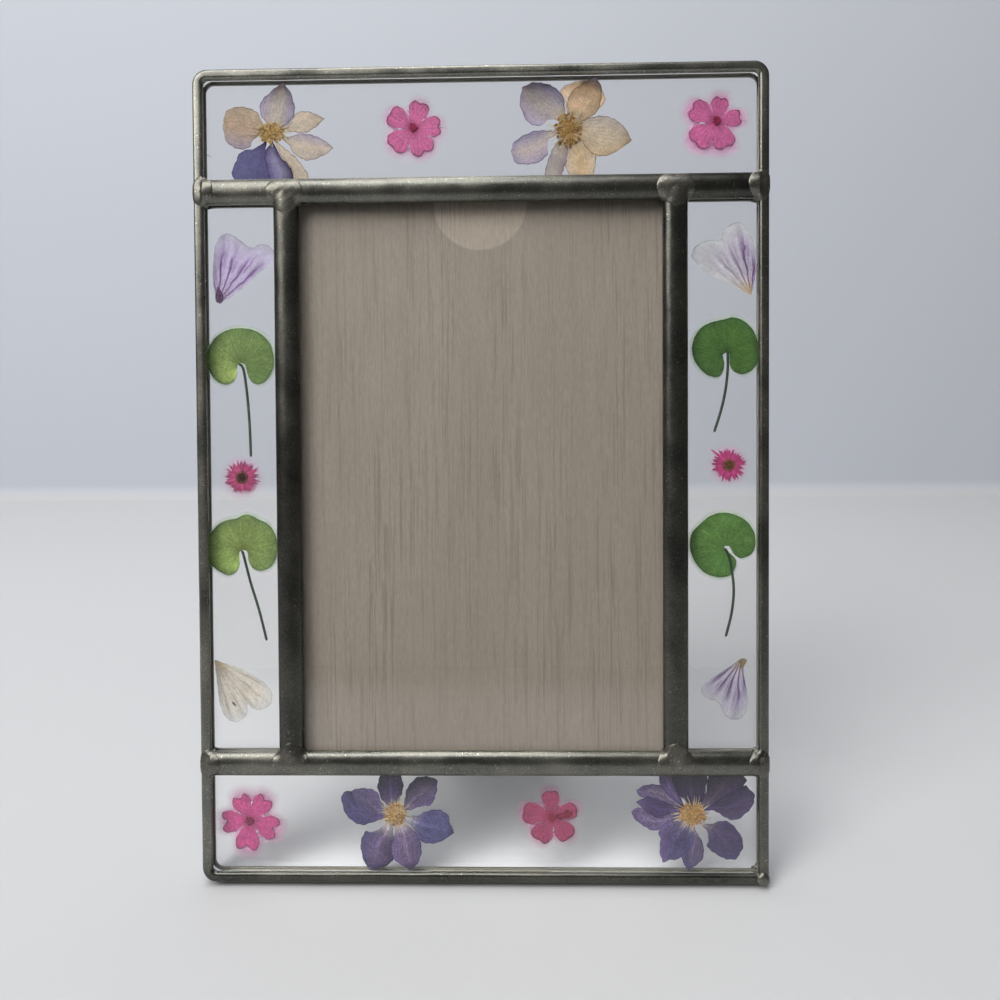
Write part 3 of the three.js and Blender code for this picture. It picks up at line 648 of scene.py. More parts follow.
JOINTS = {
    "solder_upper_left": ((-UPRIGHT_X, 77), (5.2, 4.4, 3.2, 4.3, 5.0, 4.9, 6.2, 5.1), 0.5, 31),
    "solder_upper_right": ((UPRIGHT_X, 77), (4.8, 4.2, 3.2, 4.4, 5.3, 4.9, 5.6, 4.9), 0.4, 32),
    "solder_lower_left": ((-UPRIGHT_X, -77), (5.4, 5.0, 6.0, 4.9, 5.0, 4.3, 3.2, 4.4), 0.45, 33),
    "solder_lower_right": ((UPRIGHT_X, -77), (4.9, 4.9, 5.8, 5.0, 5.4, 4.4, 3.2, 4.2), 0.45, 34),
    "solder_upper_left_end": ((-74.6, CROSSBAR_Y), (3.4, 3.6, 4.2, 3.2, 2.7, 3.2, 4.0, 3.7), 0.5, 35),
    "solder_upper_right_end": ((74.6, CROSSBAR_Y), (2.7, 3.2, 4.0, 3.7, 3.6, 3.6, 4.3, 3.2), 0.5, 36),
    "solder_lower_left_end": ((-74.6, -CROSSBAR_Y), (3.6, 3.5, 4.0, 3.2, 2.7, 3.2, 4.1, 3.6), 0.5, 37),
    "solder_lower_right_end": ((74.6, -CROSSBAR_Y), (2.7, 3.2, 4.1, 3.6, 3.4, 3.7, 4.0, 3.2), 0.5, 38),
    "solder_corner": ((75.3, -108.4), (1.9, 1.7, 1.9, 1.8, 1.8, 1.7, 1.8, 1.9), 0.8, 39),
}
for name, (centre, reach, dome, seed) in JOINTS.items():
    solder(name, centre, reach, dome, seed)
    smaller = [0.72 * radius for radius in reach]
    solder(name + "_behind", centre, smaller, dome * 0.8, seed + 50, side=-1)
print("soldered joints:", 2 * len(JOINTS))

# %% [markdown]
# ## Glass
# The panes keep their shape from the construction model. Glass bends light, so the shader lets
# light through with the index of refraction of window glass. The lamps would be dimmed twice by
# the panes' own shadows, so panes cast none.

# %% Panes
clear_glass = Finish("clear_glass").set(Base_Color=rgb(255, 255, 255), Roughness=0.0, IOR=1.46,
                                        Transmission_Weight=1.0, Specular_IOR_Level=0.2)
panes = [node for name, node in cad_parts.items() if name.endswith("glass")]


def finish_node(node, material):
    """Gives a piece of the construction model this one material."""
    node.data.materials.clear()
    node.data.materials.append(material)


for pane in panes:
    finish_node(pane, clear_glass)
    pane.visible_shadow = False
print("panes:", len(panes))

# %% [markdown]
# ## Pressed sheets
# A pressed petal is a sheet a twentieth of a millimetre thick. Front and back share their rim,
# so each sheet is a closed shell, and a faint ripple stands for the unevenness that drying
# leaves. Its edge is a smooth curve through a few given points, made a little ragged. Its
# colours are painted into the mesh, point by point, a little too light, because mottling and
# veins darken them again.

# %% Curves, colours and sheets
SHEET_HALF = 0.022
STACK_STEP = 0.07
LIFT = 1.4
NO_RIM = 9.0


def curve(knots, count):
    """A Catmull-Rom curve through the knots, cut at `count` even steps along its length."""
    knots = np.asarray(knots, float)
    ends = 2 * knots[0] - knots[1], 2 * knots[-1] - knots[-2]
    row = np.concatenate([[ends[0]], knots, [ends[1]]])
    t = np.linspace(0, 1, 16, endpoint=False)[:, None]
    spans = []
    for a, b, c, d in zip(row, row[1:], row[2:], row[3:]):
        spans.append(b + 0.5 * ((c - a) * t + (2 * a - 5 * b + 4 * c - d) * t ** 2
                                + (3 * b - a - 3 * c + d) * t ** 3))
    dense = np.concatenate([*spans, knots[-1:]])
    steps = np.linalg.norm(np.diff(dense, axis=0), axis=1)
    length = np.concatenate([[0], np.cumsum(steps)])
    even = np.linspace(0, length[-1], count)
    return np.stack([np.interp(even, length, dense[:, axis]) for axis in (0, 1)], -1)


def ragged(flat, size):
    """Shifts points in the plane by a few short sine waves, which makes an edge uneven."""
    x, y = flat[..., 0], flat[..., 1]
    shift_x = np.sin(2.3 * y + 1.1 * x) + 0.5 * np.sin(5.9 * y - 2.7 * x + 1)
    shift_y = np.sin(2.7 * x - 0.9 * y + 2) + 0.5 * np.sin(6.3 * x + 2.2 * y)
    return flat + size * np.stack([shift_x, shift_y], -1)


def plain_tint(colour, shape):
    """One colour at every point of a grid."""
    return np.broadcast_to(rgb(*colour), (*shape, 4)).copy()


def blend(across, along, colours, cover):
    """Colours over a petal: one for each side and the middle, then base and tip on top."""
    side, middle, other, base, tip = (np.array(rgb(*colour)) * LIFT for colour in colours)
    on_side = np.clip(-across, 0, 1)[..., None] ** 1.3
    on_other = np.clip(across, 0, 1)[..., None] ** 1.3
    colour = middle + (side - middle) * on_side + (other - middle) * on_other
    colour = colour + (base - colour) * np.exp(-(along[..., None] / 0.2) ** 2)
    colour = colour + (tip - colour) * np.clip((along[..., None] - 0.68) / 0.32, 0, 1) ** 1.5
    colour[..., 3] = cover
    return colour


def sheet(flat, across, along, level, tint, veins, rim, uv, half=SHEET_HALF):
    """Front and back of a thin sheet that meet at its rim. `marks` holds the strength of the
    veins and the distance from the rim in millimetres."""
    x, y = flat[..., 0], flat[..., 1]
    ripple = 0.012 * np.sin(1.9 * x + 0.8 * y) + 0.01 * np.sin(2.6 * y - 1.3 * x + 1)
    body = np.clip((1 - np.abs(across) ** 8) * (1 - np.abs(2 * along - 1) ** 8), 0, 1) ** 0.5
    rim = rim + 0 * along
    marks = np.stack([veins + 0 * along, rim, along, np.ones_like(rim)], -1)
    grids = []
    for face in (1, -1):
        z = level + ripple + face * half * body
        grids.append({"points": np.concatenate([flat, z[..., None]], -1), "uv": uv,
                      "tint": tint, "marks": marks})
    return grids


print("a sheet is", 2 * SHEET_HALF, "mm thick")

# %% [markdown]
# ## Two ways of drawing a petal
# Two ways are enough for every specimen here. A narrow petal is spanned: one curve runs up each
# side from the base to the tip, and the surface lies between them. A broad petal or a leaf is
# rayed: one curve runs round its whole outline, and rays reach it from the point where the stalk
# joins.

# %% Spanned and rayed sheets
def spanned(base, side, tip, other, level, colours, veins, cover=0.93, rough=0.1,
            rows=44, columns=26, heart=None):
    """A petal between two side curves: point = side + (other - side) * share. With a `heart`,
    the base is drawn out to a narrow claw, half way towards it."""
    if heart is not None:
        base = np.array(base) * 0.5 + np.array(heart) * 0.5
    along, share = np.meshgrid(np.linspace(0, 1, rows), np.linspace(0, 1, columns), indexing="ij")
    first = curve([base, *side, tip], rows)[:, None]
    second = curve([base, *other, tip], rows)[:, None]
    flat = first + (second - first) * share[..., None]
    width = np.linalg.norm(second - first, axis=-1)
    length = np.linalg.norm(np.subtract(tip, base))
    rim = np.minimum(width * np.minimum(share, 1 - share), length * (1 - along))
    across = 2 * share - 1
    return sheet(ragged(flat, rough), across, along, level,
                 blend(across, along, colours, cover), veins, rim, np.stack([share, along], -1))


def rayed(centre, outline, level, colours, veins, cover, rough, rows, columns, notch=None):
    """A sheet of rays: point = start + (outline - start) * along. All rays start at the centre,
    or, with a `notch`, along the curve round the notch's end, whose sides are the first and the
    last ray. `veins` may be a pair, the strength at the first and at the last ray."""
    if notch is None:
        edge = curve([centre, *outline, centre], columns)
        edge[0] = edge[1] * 0.02 + edge[0] * 0.98
        edge[-1] = edge[-2] * 0.02 + edge[-1] * 0.98
    else:
        edge = curve(outline, columns)
    angle = np.unwrap(np.arctan2(edge[:, 1] - centre[1], edge[:, 0] - centre[0]))
    share = (angle - angle[0]) / (angle[-1] - angle[0])
    start = centre
    if notch is not None:
        rounded = curve(notch, columns)
        even = np.linspace(0, 1, columns)
        start = np.stack([np.interp(share, even, rounded[:, axis]) for axis in (0, 1)], -1)
    reach = edge - start
    along = np.broadcast_to(np.linspace(0, 1, rows)[:, None], (rows, columns))
    across = np.broadcast_to(2 * share - 1, along.shape)
    flat = start + reach * along[..., None]
    rim = np.linalg.norm(reach, axis=-1) * (1 - along)
    uv = np.stack([np.broadcast_to(angle / (2 * math.pi) + 1, along.shape), along], -1)
    first, last = np.broadcast_to(veins, 2)
    strength = first + (last - first) * np.clip(across + 1, 0, 2) / 2
    end_to_end = np.broadcast_to(np.linspace(-1, 1, columns), along.shape)
    return sheet(ragged(flat, rough * along[..., None]), end_to_end, along, level,
                 blend(across, along, colours, cover), strength, rim, uv)


print("ways of drawing a petal:", spanned.__name__, rayed.__name__)

# %% [markdown]
# ## Stains, threads and grains
# Flowers that are pressed wet bleed into the glass, which leaves a soft stain round them. The
# stain is a film that fades outwards. Stalks and stamens are flattened tubes along a curve, and
# anthers are small lumpy ellipsoids.

# %% Stain, thread and grain
def halo(centre, edge, reach, level, colour, strength, under=0.6):
    """The stain round a specimen: a film that starts `under` mm inside its rim, keeps its
    strength to there, and fades outwards."""
    edge = np.asarray(edge, float)
    away = edge - centre
    away = away / np.linalg.norm(away, axis=-1, keepdims=True)
    along = np.broadcast_to(np.linspace(0, 1, 16)[:, None], (16, len(edge)))
    past_rim = along * (reach + under) - under
    tint = plain_tint(colour, along.shape)
    tint[..., 3] = strength * np.clip(1 - past_rim / reach, 0, 1) ** 1.8
    across = np.broadcast_to(np.linspace(-1, 1, len(edge)), along.shape)
    return sheet(edge + away * past_rim[..., None], across, along, level, tint, 0.0, NO_RIM,
                 strip_uv(*along.shape), half=0.006)


def unmarked(points, tint):
    """A grid without veins or a dried rim."""
    marks = np.broadcast_to(np.array([0, NO_RIM, 0.5, 1]), tint.shape)
    return {"points": points, "uv": strip_uv(*points.shape[:2]), "tint": tint, "marks": marks}


def thread(points, level, half_width, colours, half_depth=None, sides=10, taper=0.02):
    """A flattened tube along a curve: stalks and filaments. Its colour runs from the first to
    the second of `colours`."""
    ahead = np.gradient(points, axis=0)
    ahead = ahead / np.linalg.norm(ahead, axis=-1, keepdims=True)
    normal = np.stack([-ahead[:, 1], ahead[:, 0]], -1)
    turn = np.linspace(0, 2 * math.pi, sides + 1)
    share = np.linspace(0, 1, len(points))
    width = half_width * np.clip(np.minimum(share, 1 - share) / taper, 0, 1) ** 0.5
    offset = width[:, None] * np.cos(turn)
    flat = points[:, None] + normal[:, None] * offset[..., None]
    depth = (half_depth or half_width) / half_width
    z = level + depth * width[:, None] * np.sin(turn)
    first, last = (np.array(rgb(*colour)) for colour in colours)
    tint = first + (last - first) * share[:, None, None] + 0 * offset[..., None]
    return [unmarked(np.concatenate([flat, z[..., None]], -1), tint)]


def grain(place, size, turn, colour):
    """An ellipsoid with half lengths `size`, turned in the plane of the glass: an anther."""
    v, u = np.meshgrid(np.linspace(0, math.pi, 9), np.linspace(0, 2 * math.pi, 13), indexing="ij")
    x = size[0] * np.cos(v)
    y = size[1] * np.sin(v) * np.cos(u) * (1 + 0.25 * np.sin(3 * v + turn * 5))
    z = size[2] * np.sin(v) * np.sin(u)
    flat_x = place[0] + x * math.cos(turn) - y * math.sin(turn)
    flat_y = place[1] + x * math.sin(turn) + y * math.cos(turn)
    return [unmarked(np.stack([flat_x, flat_y, place[2] + z], -1), plain_tint(colour, u.shape))]


def finish_specimen(name, grids, material):
    """Makes the pressed piece in place of its flat outline in the construction model."""
    piece = make_piece(name + "_pressed", grids, material, [name])
    print(piece.name, len(piece.data.polygons), "faces")


print("points in a grain:", grain((0, 0, 0), (1, 1, 1), 0, (0, 0, 0))[0]["points"][..., 0].size)

# %% [markdown]
# ## What dried petals are made of
# Each specimen shares one recipe. The colour comes from the mesh, painted petal by petal. On top
# come mottling, veins, and a thin darker line where the rim has dried. Veins are narrow bands at
# even steps across the petal, and a noise makes them wander and fork; cells of random size leave
# a net of the finest veins between them. Petals are so thin that light from behind shines
# through, so half of the shader is translucent and a small share is simply clear, which is why
# two petals that overlap look darker than one.

# %% The recipe for pressed specimens
def pressed(name, count, vein, width, rim, rim_width=0.45, glow=0.4, mottle=0.14, fine=900,
            fork=0.5, wander=1.4, fades=(0.8, 1.0), streaks=16, streak_depth=0.12,
            vein_cover=0.0, net=0.0, crumple=0.0, midrib=0.0):
    """`count` veins in one turn (rayed) or from side to side (spanned). `vein` and `rim` are
    colours that multiply the tint. `net` is the strength of a net of finest veins, `crumple`
    the depth of fine pits in the tint, and `midrib` how much paler the middle line is."""
    petal = Finish(name)
    tint = petal.node("Attribute", attribute_name="tint")
    marks = petal.node("SeparateXYZ", {0: petal.attribute("marks")}).outputs
    surface = petal.node("UVMap", uv_map="surface").outputs[0]
    uv = petal.node("SeparateXYZ", {0: surface}).outputs
    where = petal.place()

    # Mottling: blotches, fine grains, streaks from base to tip, pits, and the net.
    blotches = petal.noise(where, fine * 0.35, 4, 0.6)
    grains = petal.noise(where, fine * 2.2, 3, 0.6)
    lengthwise = petal.node("Mapping", {"Vector": surface, "Scale": (streaks, 1.5, 1)}).outputs[0]
    streaked = petal.noise(lengthwise, 1.0, 3, 0.6)
    pits = petal.noise(where, 1700, 5, 0.75, 0.4)
    colour = tint.outputs["Color"]
    for value, start, end, darkest, lightest in (
            (blotches, 0.3, 0.7, 1 - mottle, 1 + mottle * 0.6),
            (grains, 0.3, 0.75, 1 - mottle * 0.6, 1 + mottle * 0.4),
            (streaked, 0.32, 0.68, 1 - streak_depth, 1 + streak_depth),
            (pits, 0.36, 0.62, 1 - crumple, 1 + crumple * 0.6)):
        colour = petal.shade(colour, petal.ramp(value, start, end, darkest, lightest))
    meshes = petal.ramp(petal.cell_walls(where, 1150), 0.0, 0.14, net, 0)
    colour = petal.mix(meshes, colour, petal.tinted(colour, vein))

    # Veins: the main ones, and twice as many from the fork on.
    stray = petal.times(petal.noise(where, 260, 2, 0.5), wander)

    def bands(per_turn, part):
        phase = petal.plus(petal.times(uv[0], per_turn), stray)
        wave = petal.calc("ABSOLUTE", petal.calc("SINE", petal.times(phase, math.pi)))
        return petal.times(petal.ramp(wave, 0.0, width, 1, 0), part)

    forks = bands(count * 2, petal.ramp(uv[1], fork, fork + 0.2, 0, 0.7))
    lines = petal.calc("MAXIMUM", bands(count, 1.0), forks)
    lines = petal.times(lines, petal.ramp(uv[1], *fades, 1, 0.15))
    lines = petal.times(lines, marks[0])
    colour = petal.mix(lines, colour, petal.tinted(colour, vein))

    # The paler middle line and the dried rim.
    from_middle = petal.calc("ABSOLUTE", petal.calc("SUBTRACT", uv[0], 0.5))
    paler = petal.times(petal.ramp(from_middle, 0.0, 0.11, midrib, 0),
                        petal.ramp(uv[1], 0.5, 0.95, 1, 0))
    colour = petal.shade(colour, petal.plus(paler, 1.0))
    edge = petal.ramp(marks[1], 0.0, rim_width, 0.85, 0)
    colour = petal.mix(edge, colour, petal.tinted(colour, rim))

    # The sheet itself: partly reflecting, partly glowing with light from behind, partly clear.
    relief = petal.plus(grains, petal.times(lines, -0.8))
    petal.set(Base_Color=colour, Roughness=0.75, Specular_IOR_Level=0.25,
              Normal=petal.bump(relief, 0.00004, 0.6))
    behind = petal.node("BsdfTranslucent", {"Color": colour}).outputs[0]
    both = petal.node("MixShader", {0: glow, 1: petal.shader.outputs[0], 2: behind}).outputs[0]
    clear = petal.node("BsdfTransparent").outputs[0]
    denser = petal.times(petal.plus(lines, petal.times(edge, 0.6)), vein_cover)
    cover = petal.calc("ADD", tint.outputs["Alpha"], denser, clamp=True)
    seen = petal.node("MixShader", {0: cover, 1: clear, 2: both}).outputs[0]
    petal.feed(petal.out.inputs["Surface"], seen)
    return petal.material


cream_larkspur = pressed("cream_larkspur", 12, rgb(215, 206, 208), 0.4, rgb(190, 175, 180),
                         glow=0.5, wander=3, streaks=20, streak_depth=0.08, crumple=0.12)
violet_larkspur = pressed("violet_larkspur", 11, (1.45, 1.4, 1.35, 1), 0.35, rgb(170, 160, 175),
                          0.35, glow=0.45, wander=2.4, streaks=16, streak_depth=0.12,
                          mottle=0.22, crumple=0.3, midrib=0.55)
verbena_petal = pressed("verbena_petal", 30, rgb(215, 170, 195), 0.45, rgb(104, 44, 74), 0.6,
                        glow=0.5, wander=0.8, streaks=60, streak_depth=0.06, crumple=0.2)
mallow_petal = pressed("mallow_petal", 24, rgb(150, 114, 164), 0.72, rgb(172, 166, 176), 0.3,
                       glow=0.55, mottle=0.1, fork=0.4, wander=0.7, fades=(0.55, 0.9),
                       streaks=50, streak_depth=0.08, vein_cover=0.45, crumple=0.1)
leaf_blade = pressed("leaf_blade", 14, (1.6, 1.35, 1.4, 1), 0.24, rgb(175, 195, 170), 0.5,
                     glow=0.5, mottle=0.14, fine=600, fork=0.35, wander=0.8, streaks=24,
                     streak_depth=0.08, net=0.5, crumple=0.14)
tan_mallow = pressed("tan_mallow_petal", 30, rgb(196, 182, 166), 0.26, rgb(190, 184, 178), 0.3,
                     glow=0.55, mottle=0.1, fork=0.4, wander=0.5, fades=(0.75, 1.0), streaks=50,
                     streak_depth=0.08, vein_cover=0.15, crumple=0.12)
daisy_ray = pressed("daisy_ray", 3, rgb(205, 170, 190), 0.4, rgb(175, 135, 155), 0.12, wander=0.6)
print("recipes:", [m.name for m in (cream_larkspur, violet_larkspur, mallow_petal, leaf_blade)])

# %% [markdown]
# ## Larkspurs
# Larkspur petals overlap at the base like cards in a hand, round a tuft of stamens. The two at
# the top have dried to cream and tan with violet left at the rims, and near the upper edge they
# are painted paler, which is painted light against the shadow of the edge came above them; the
# two at the bottom kept their deep violet blue. Each row below is a petal: base, points up one
# side, tip, points up the other side, and its colours (side, middle, other side, base, tip).
# Rows run from the rearmost.

# %% Larkspur petals
CREAM = (194, 183, 168)
TAN = (182, 168, 149)
BISQUE = (198, 180, 154)
GOLD = (178, 159, 128)
LAVENDER = (166, 157, 180)
GREY_VIOLET = (140, 135, 164)
SLATE = (98, 97, 137)
VIOLET = (84, 79, 126)
DEEP = (50, 40, 80)
PLUM = (74, 56, 104)
MAUVE = (110, 92, 142)
ASH = (172, 164, 158)

LARKSPURS = {
    "larkspur_top_left": [
        ((-59, 91.3), [(-61, 90.3), (-64.8, 89.4), (-66.3, 87), (-67.4, 82.5)], (-62, 77.6),
         [(-58.2, 89.5), (-57.6, 86), (-57.2, 82), (-58.5, 78.6)],
         (SLATE, SLATE, VIOLET, PLUM, SLATE)),
        ((-56.3, 90.8), [(-58.5, 88.5), (-57.8, 84), (-57, 80.5)], (-54.5, 77.6),
         [(-54.2, 88), (-52, 85.4), (-50.9, 83.5), (-51.5, 79.5)],
         (VIOLET, GREY_VIOLET, DEEP, PLUM, VIOLET)),
        ((-59.4, 94.2), [(-59.2, 97.3), (-60.5, 99.9), (-64.8, 101.4), (-68.7, 100.3)], (-69.9, 96.4),
         [(-61.3, 92.7), (-62.8, 90.3), (-66.2, 90.1), (-69, 92.3)],
         (TAN, (182, 162, 142), (158, 148, 162), GOLD, TAN)),
        ((-55.2, 95.4), [(-57.6, 96.4), (-59.5, 99.5), (-59.2, 102.6), (-56.2, 105.6)], (-53.2, 107.6),
         [(-52.7, 95.9), (-50.4, 98.6), (-50.2, 101.5), (-51.4, 105.3)],
         (LAVENDER, (186, 178, 168), GREY_VIOLET, GOLD, ASH)),
        ((-53.2, 94.3), [(-51.5, 96.6), (-49.9, 99.2), (-46.8, 99.8), (-43.8, 98.7)], (-42, 97.7),
         [(-50.9, 94.4), (-48.5, 94), (-45.9, 94.5), (-43.6, 96.2)], (CREAM, CREAM, CREAM, GOLD, TAN)),
        ((-53.2, 92), [(-51, 93.1), (-48.3, 93.8), (-44.5, 93), (-41.3, 91.2)], (-39.6, 89.7),
         [(-51.8, 90.8), (-50.2, 88.3), (-46.8, 86.5), (-42.3, 87.8)], (LAVENDER, CREAM, ASH, CREAM, ASH)),
        ((-55.2, 91.2), [(-52.5, 89.6), (-49.8, 87.2), (-47.5, 84.3), (-46.2, 81.4)], (-45.8, 78.6),
         [(-54.3, 88.6), (-52.7, 86.2), (-51, 84), (-50, 80)], (CREAM, CREAM, TAN, CREAM, CREAM)),
    ],
    "larkspur_top_right": [
        ((23.8, 97.5), [(23.2, 101.5), (21.8, 104.4), (24, 106), (27, 106.9)], (29.5, 107.3),
         [(26.5, 98), (30.5, 98.5), (33.8, 101), (33.2, 104.4)],
         ((226, 212, 194), (230, 210, 180), (230, 210, 180), GOLD, CREAM)),
        ((22.6, 97.9), [(22.9, 101.8), (21.5, 104.3), (18.6, 106.1), (14.5, 106.7)], (11.7, 105.4),
         [(19.2, 96.8), (17.2, 95.4), (15.2, 95.1), (12.9, 96.4), (11, 100.8)],
         (GREY_VIOLET, ASH, LAVENDER, CREAM, (158, 145, 158))),
        ((25.9, 96.2), [(24, 99), (23.7, 101.2), (25.2, 104.2), (28, 106.2)], (31.6, 107.9),
         [(29.4, 96.8), (32, 99), (32.9, 102.2), (32.9, 105.2)],
         (BISQUE, BISQUE, GOLD, GOLD, GREY_VIOLET)),
        ((20.4, 92.9), [(18.2, 93.7), (15, 93.6), (11.5, 92.2), (9.3, 90.6)], (8.6, 88.4),
         [(18.6, 91), (18.4, 87.5), (16.3, 85.4), (13, 84.7), (9.6, 85.3)],
         (GREY_VIOLET, (180, 170, 166), LAVENDER, CREAM, GREY_VIOLET)),
        ((22.3, 91.7), [(20.3, 89.5), (18.9, 86.9), (18, 84), (17.6, 80.8)], (19.5, 78.4),
         [(24, 88.6), (23.9, 86.3), (22.8, 83.5), (21.6, 80.2)],
         ((162, 154, 158), ASH, (150, 136, 146), GOLD, (168, 160, 160))),
        ((25.5, 91.3), [(24, 89), (23.2, 84.5), (23.9, 82.2), (25, 79.5)], (27.5, 78.2),
         [(28.5, 90.6), (31.3, 87.3), (31.2, 84), (30.3, 80.5)],
         (CREAM, (192, 171, 138), CREAM, GOLD, CREAM)),
        ((27.3, 94.1), [(27.8, 95.7), (30.2, 96.9), (33.5, 97.2), (37, 96), (39.7, 93.2)], (41, 90.7),
         [(27, 92.2), (28.3, 89.6), (30.8, 86.9), (34.8, 86.7), (38.8, 88.9)],
         (ASH, (187, 175, 156), (190, 172, 142), GOLD, (140, 122, 98))),
    ],
    "larkspur_bottom_left": [
        ((-25.8, -90), [(-28, -88.6), (-29.3, -85), (-28.9, -82.8), (-28, -80.5)], (-25.6, -78.6),
         [(-23.4, -88.6), (-22.2, -85.2), (-22.6, -82.4), (-23.6, -80.3)],
         (DEEP, PLUM, DEEP, (150, 138, 150), DEEP)),
        ((-21.3, -91.2), [(-21.8, -88.6), (-21.4, -86.1), (-20.3, -84), (-18.3, -82.3), (-15.6, -82)],
         (-12.8, -82.9), [(-19.2, -91), (-17.8, -90.4), (-14.7, -89.9), (-13.6, -88.3), (-12.9, -85.8)],
         (DEEP, (92, 80, 108), MAUVE, (150, 140, 156), PLUM)),
        ((-26.9, -96), [(-30, -97.2), (-32.8, -97.4), (-34.1, -101), (-33.1, -105.8)], (-31.5, -108),
         [(-25.1, -97.4), (-24.5, -101), (-25.1, -104.9), (-27, -106.8)],
         (VIOLET, (101, 85, 120), DEEP, (205, 196, 192), VIOLET)),
        ((-27.8, -93.8), [(-30, -94.4), (-33.9, -95.4), (-37.5, -93.3), (-39, -90)], (-39.4, -87.3),
         [(-29, -92.5), (-33, -89), (-36.4, -86.1), (-38.3, -86.3)],
         ((76, 70, 116), (76, 70, 116), DEEP, MAUVE, VIOLET)),
        ((-28, -92.5), [(-28.1, -89.1), (-29.2, -86.6), (-31.1, -85.4), (-34.2, -85.2)], (-36.4, -85.8),
         [(-29.4, -93.1), (-32.2, -93), (-34.4, -91.3), (-35.8, -88.6)],
         (MAUVE, (92, 82, 116), VIOLET, MAUVE, MAUVE)),
        ((-20.8, -93.5), [(-18.3, -92.7), (-16.1, -91.6), (-12.6, -91), (-10, -92.4), (-9.2, -94.9)],
         (-8.2, -97.4), [(-20, -95.5), (-17.8, -99.4), (-15.6, -100.4), (-12.8, -100.2), (-10, -98.8)],
         (VIOLET, (84, 84, 130), VIOLET, (205, 198, 196), DEEP)),
        ((-23, -95.6), [(-24.7, -98.2), (-25.6, -101.5), (-25, -104.6), (-22.9, -106.3)], (-20.3, -107.7),
         [(-19.9, -96.4), (-17.8, -99.2), (-17.2, -102.6), (-18.4, -106)],
         (MAUVE, (112, 96, 128), (90, 75, 120), (200, 190, 186), PLUM)),
    ],
    "larkspur_bottom_right": [
        ((53.5, -90.3), [(52.1, -86.5), (50.6, -84.8), (45.9, -84.1), (43, -84.9)], (41.9, -85.7),
         [(49.5, -89.6), (45.1, -87.6), (42.9, -87.6)], (MAUVE, (128, 114, 142), MAUVE, PLUM, MAUVE)),
        ((54, -89.5), [(52.2, -88.6), (49.6, -86), (48.1, -83.2), (48.3, -80.9)], (49.5, -79.3),
         [(54, -88), (53, -85), (52.4, -82.5), (51.6, -80.3)], (MAUVE, MAUVE, DEEP, PLUM, MAUVE)),
        ((59.5, -90.8), [(60.8, -86), (61.3, -82.7), (63, -80)], (66.5, -79),
         [(66, -88), (71.2, -84.2), (71.2, -81.8)], (DEEP, (66, 52, 78), PLUM, (120, 108, 124), DEEP)),
        ((56.3, -89.8), [(55.4, -88.9), (53.3, -86.8), (51.8, -83.3), (52.4, -80.5)], (56, -78.5),
         [(59.9, -88.3), (60.8, -84.8), (61.2, -81.8), (59.5, -79.5)],
         (DEEP, (56, 44, 76), (56, 42, 84), DEEP, DEEP)),
        ((53.5, -93), [(49, -92), (43.1, -90.5), (41.8, -90.6)], (40.4, -91.7),
         [(53, -93.6), (49.5, -95.4), (47.7, -96.6), (45.6, -96.5), (41.4, -93.6)],
         (MAUVE, (116, 102, 134), MAUVE, MAUVE, MAUVE)),
        ((53.3, -91.2), [(50, -89), (45.1, -87.4), (43.3, -88)], (41.8, -89),
         [(53, -91.8), (50.1, -92.4), (48, -93.4), (44.8, -91.8), (43.1, -90.1)],
         (PLUM, PLUM, PLUM, MAUVE, MAUVE)),
        ((62, -90.7), [(66, -87), (71.2, -84.3), (72.7, -85.4)], (74, -86.8),
         [(63, -91.2), (66.5, -93.3), (69.2, -93.6), (72.4, -91.2), (73.7, -88.9)],
         (DEEP, (64, 50, 86), (92, 77, 116), PLUM, PLUM)),
        ((57.3, -95.4), [(55.8, -98), (53.8, -102.5), (54.8, -105.9)], (55.9, -107.6),
         [(58, -96.8), (59.8, -99.8), (60.1, -102), (59.9, -104.2), (58, -106.2)],
         (VIOLET, (92, 80, 112), (94, 82, 114), (190, 180, 176), VIOLET)),
        ((55.2, -95.2), [(49.9, -94.5), (47.9, -96.8), (48.3, -99.2), (48.1, -102.4)], (48.9, -105.5),
         [(57.4, -97.1), (57.1, -100.4), (53.6, -104.2), (50.6, -104.8)],
         (MAUVE, (74, 66, 104), VIOLET, (150, 140, 160), MAUVE)),
        ((59.8, -95), [(61.2, -94.8), (65.9, -93.9), (69.5, -96.8), (70.8, -100.9)], (68.9, -104.5),
         [(60.9, -96.8), (61.4, -98.9), (61.2, -101.2), (65.4, -104.2)],
         (PLUM, (74, 62, 98), (70, 64, 104), (170, 160, 168), VIOLET)),
    ],
}
print("larkspur petals:", sum(len(petals) for petals in LARKSPURS.values()))

# %% [markdown]
# ## Stamens
# In the middle of each larkspur is a tuft of stamens, pressed flat in all directions: pale
# threads, and golden anthers that have dried into small crumbs over a bed of their own dust.
# Their places are scattered by a seeded random generator within an ellipse, thicker towards the
# middle. The crumbs lie on top of the petals, just under the front glass.

# %% Stamens
# The middle and the half axes of a tuft, the number of anthers, their colours, and the seed.
TUFTS = {
    "larkspur_top_left": ((-56.6, 94), (3.5, 2.5), 90,
                          [(188, 150, 80), (150, 120, 75), (205, 178, 120)], 61),
    "larkspur_top_right": ((24, 93.6), (3.7, 4.4), 120,
                           [(165, 125, 62), (135, 100, 55), (196, 165, 105)], 62),
    "larkspur_bottom_left": ((-24.3, -92.2), (2.9, 3.1), 90,
                             [(198, 158, 86), (175, 130, 65), (215, 190, 140)], 63),
    "larkspur_bottom_right": ((57.2, -92), (3.7, 3.0), 100,
                              [(196, 140, 62), (206, 172, 112), (196, 158, 90)], 64),
}
DUST_LEVEL = 0.25
THREAD_LEVEL = 0.27
ANTHER_LEVEL = 0.33
FILAMENT = (226, 218, 194)


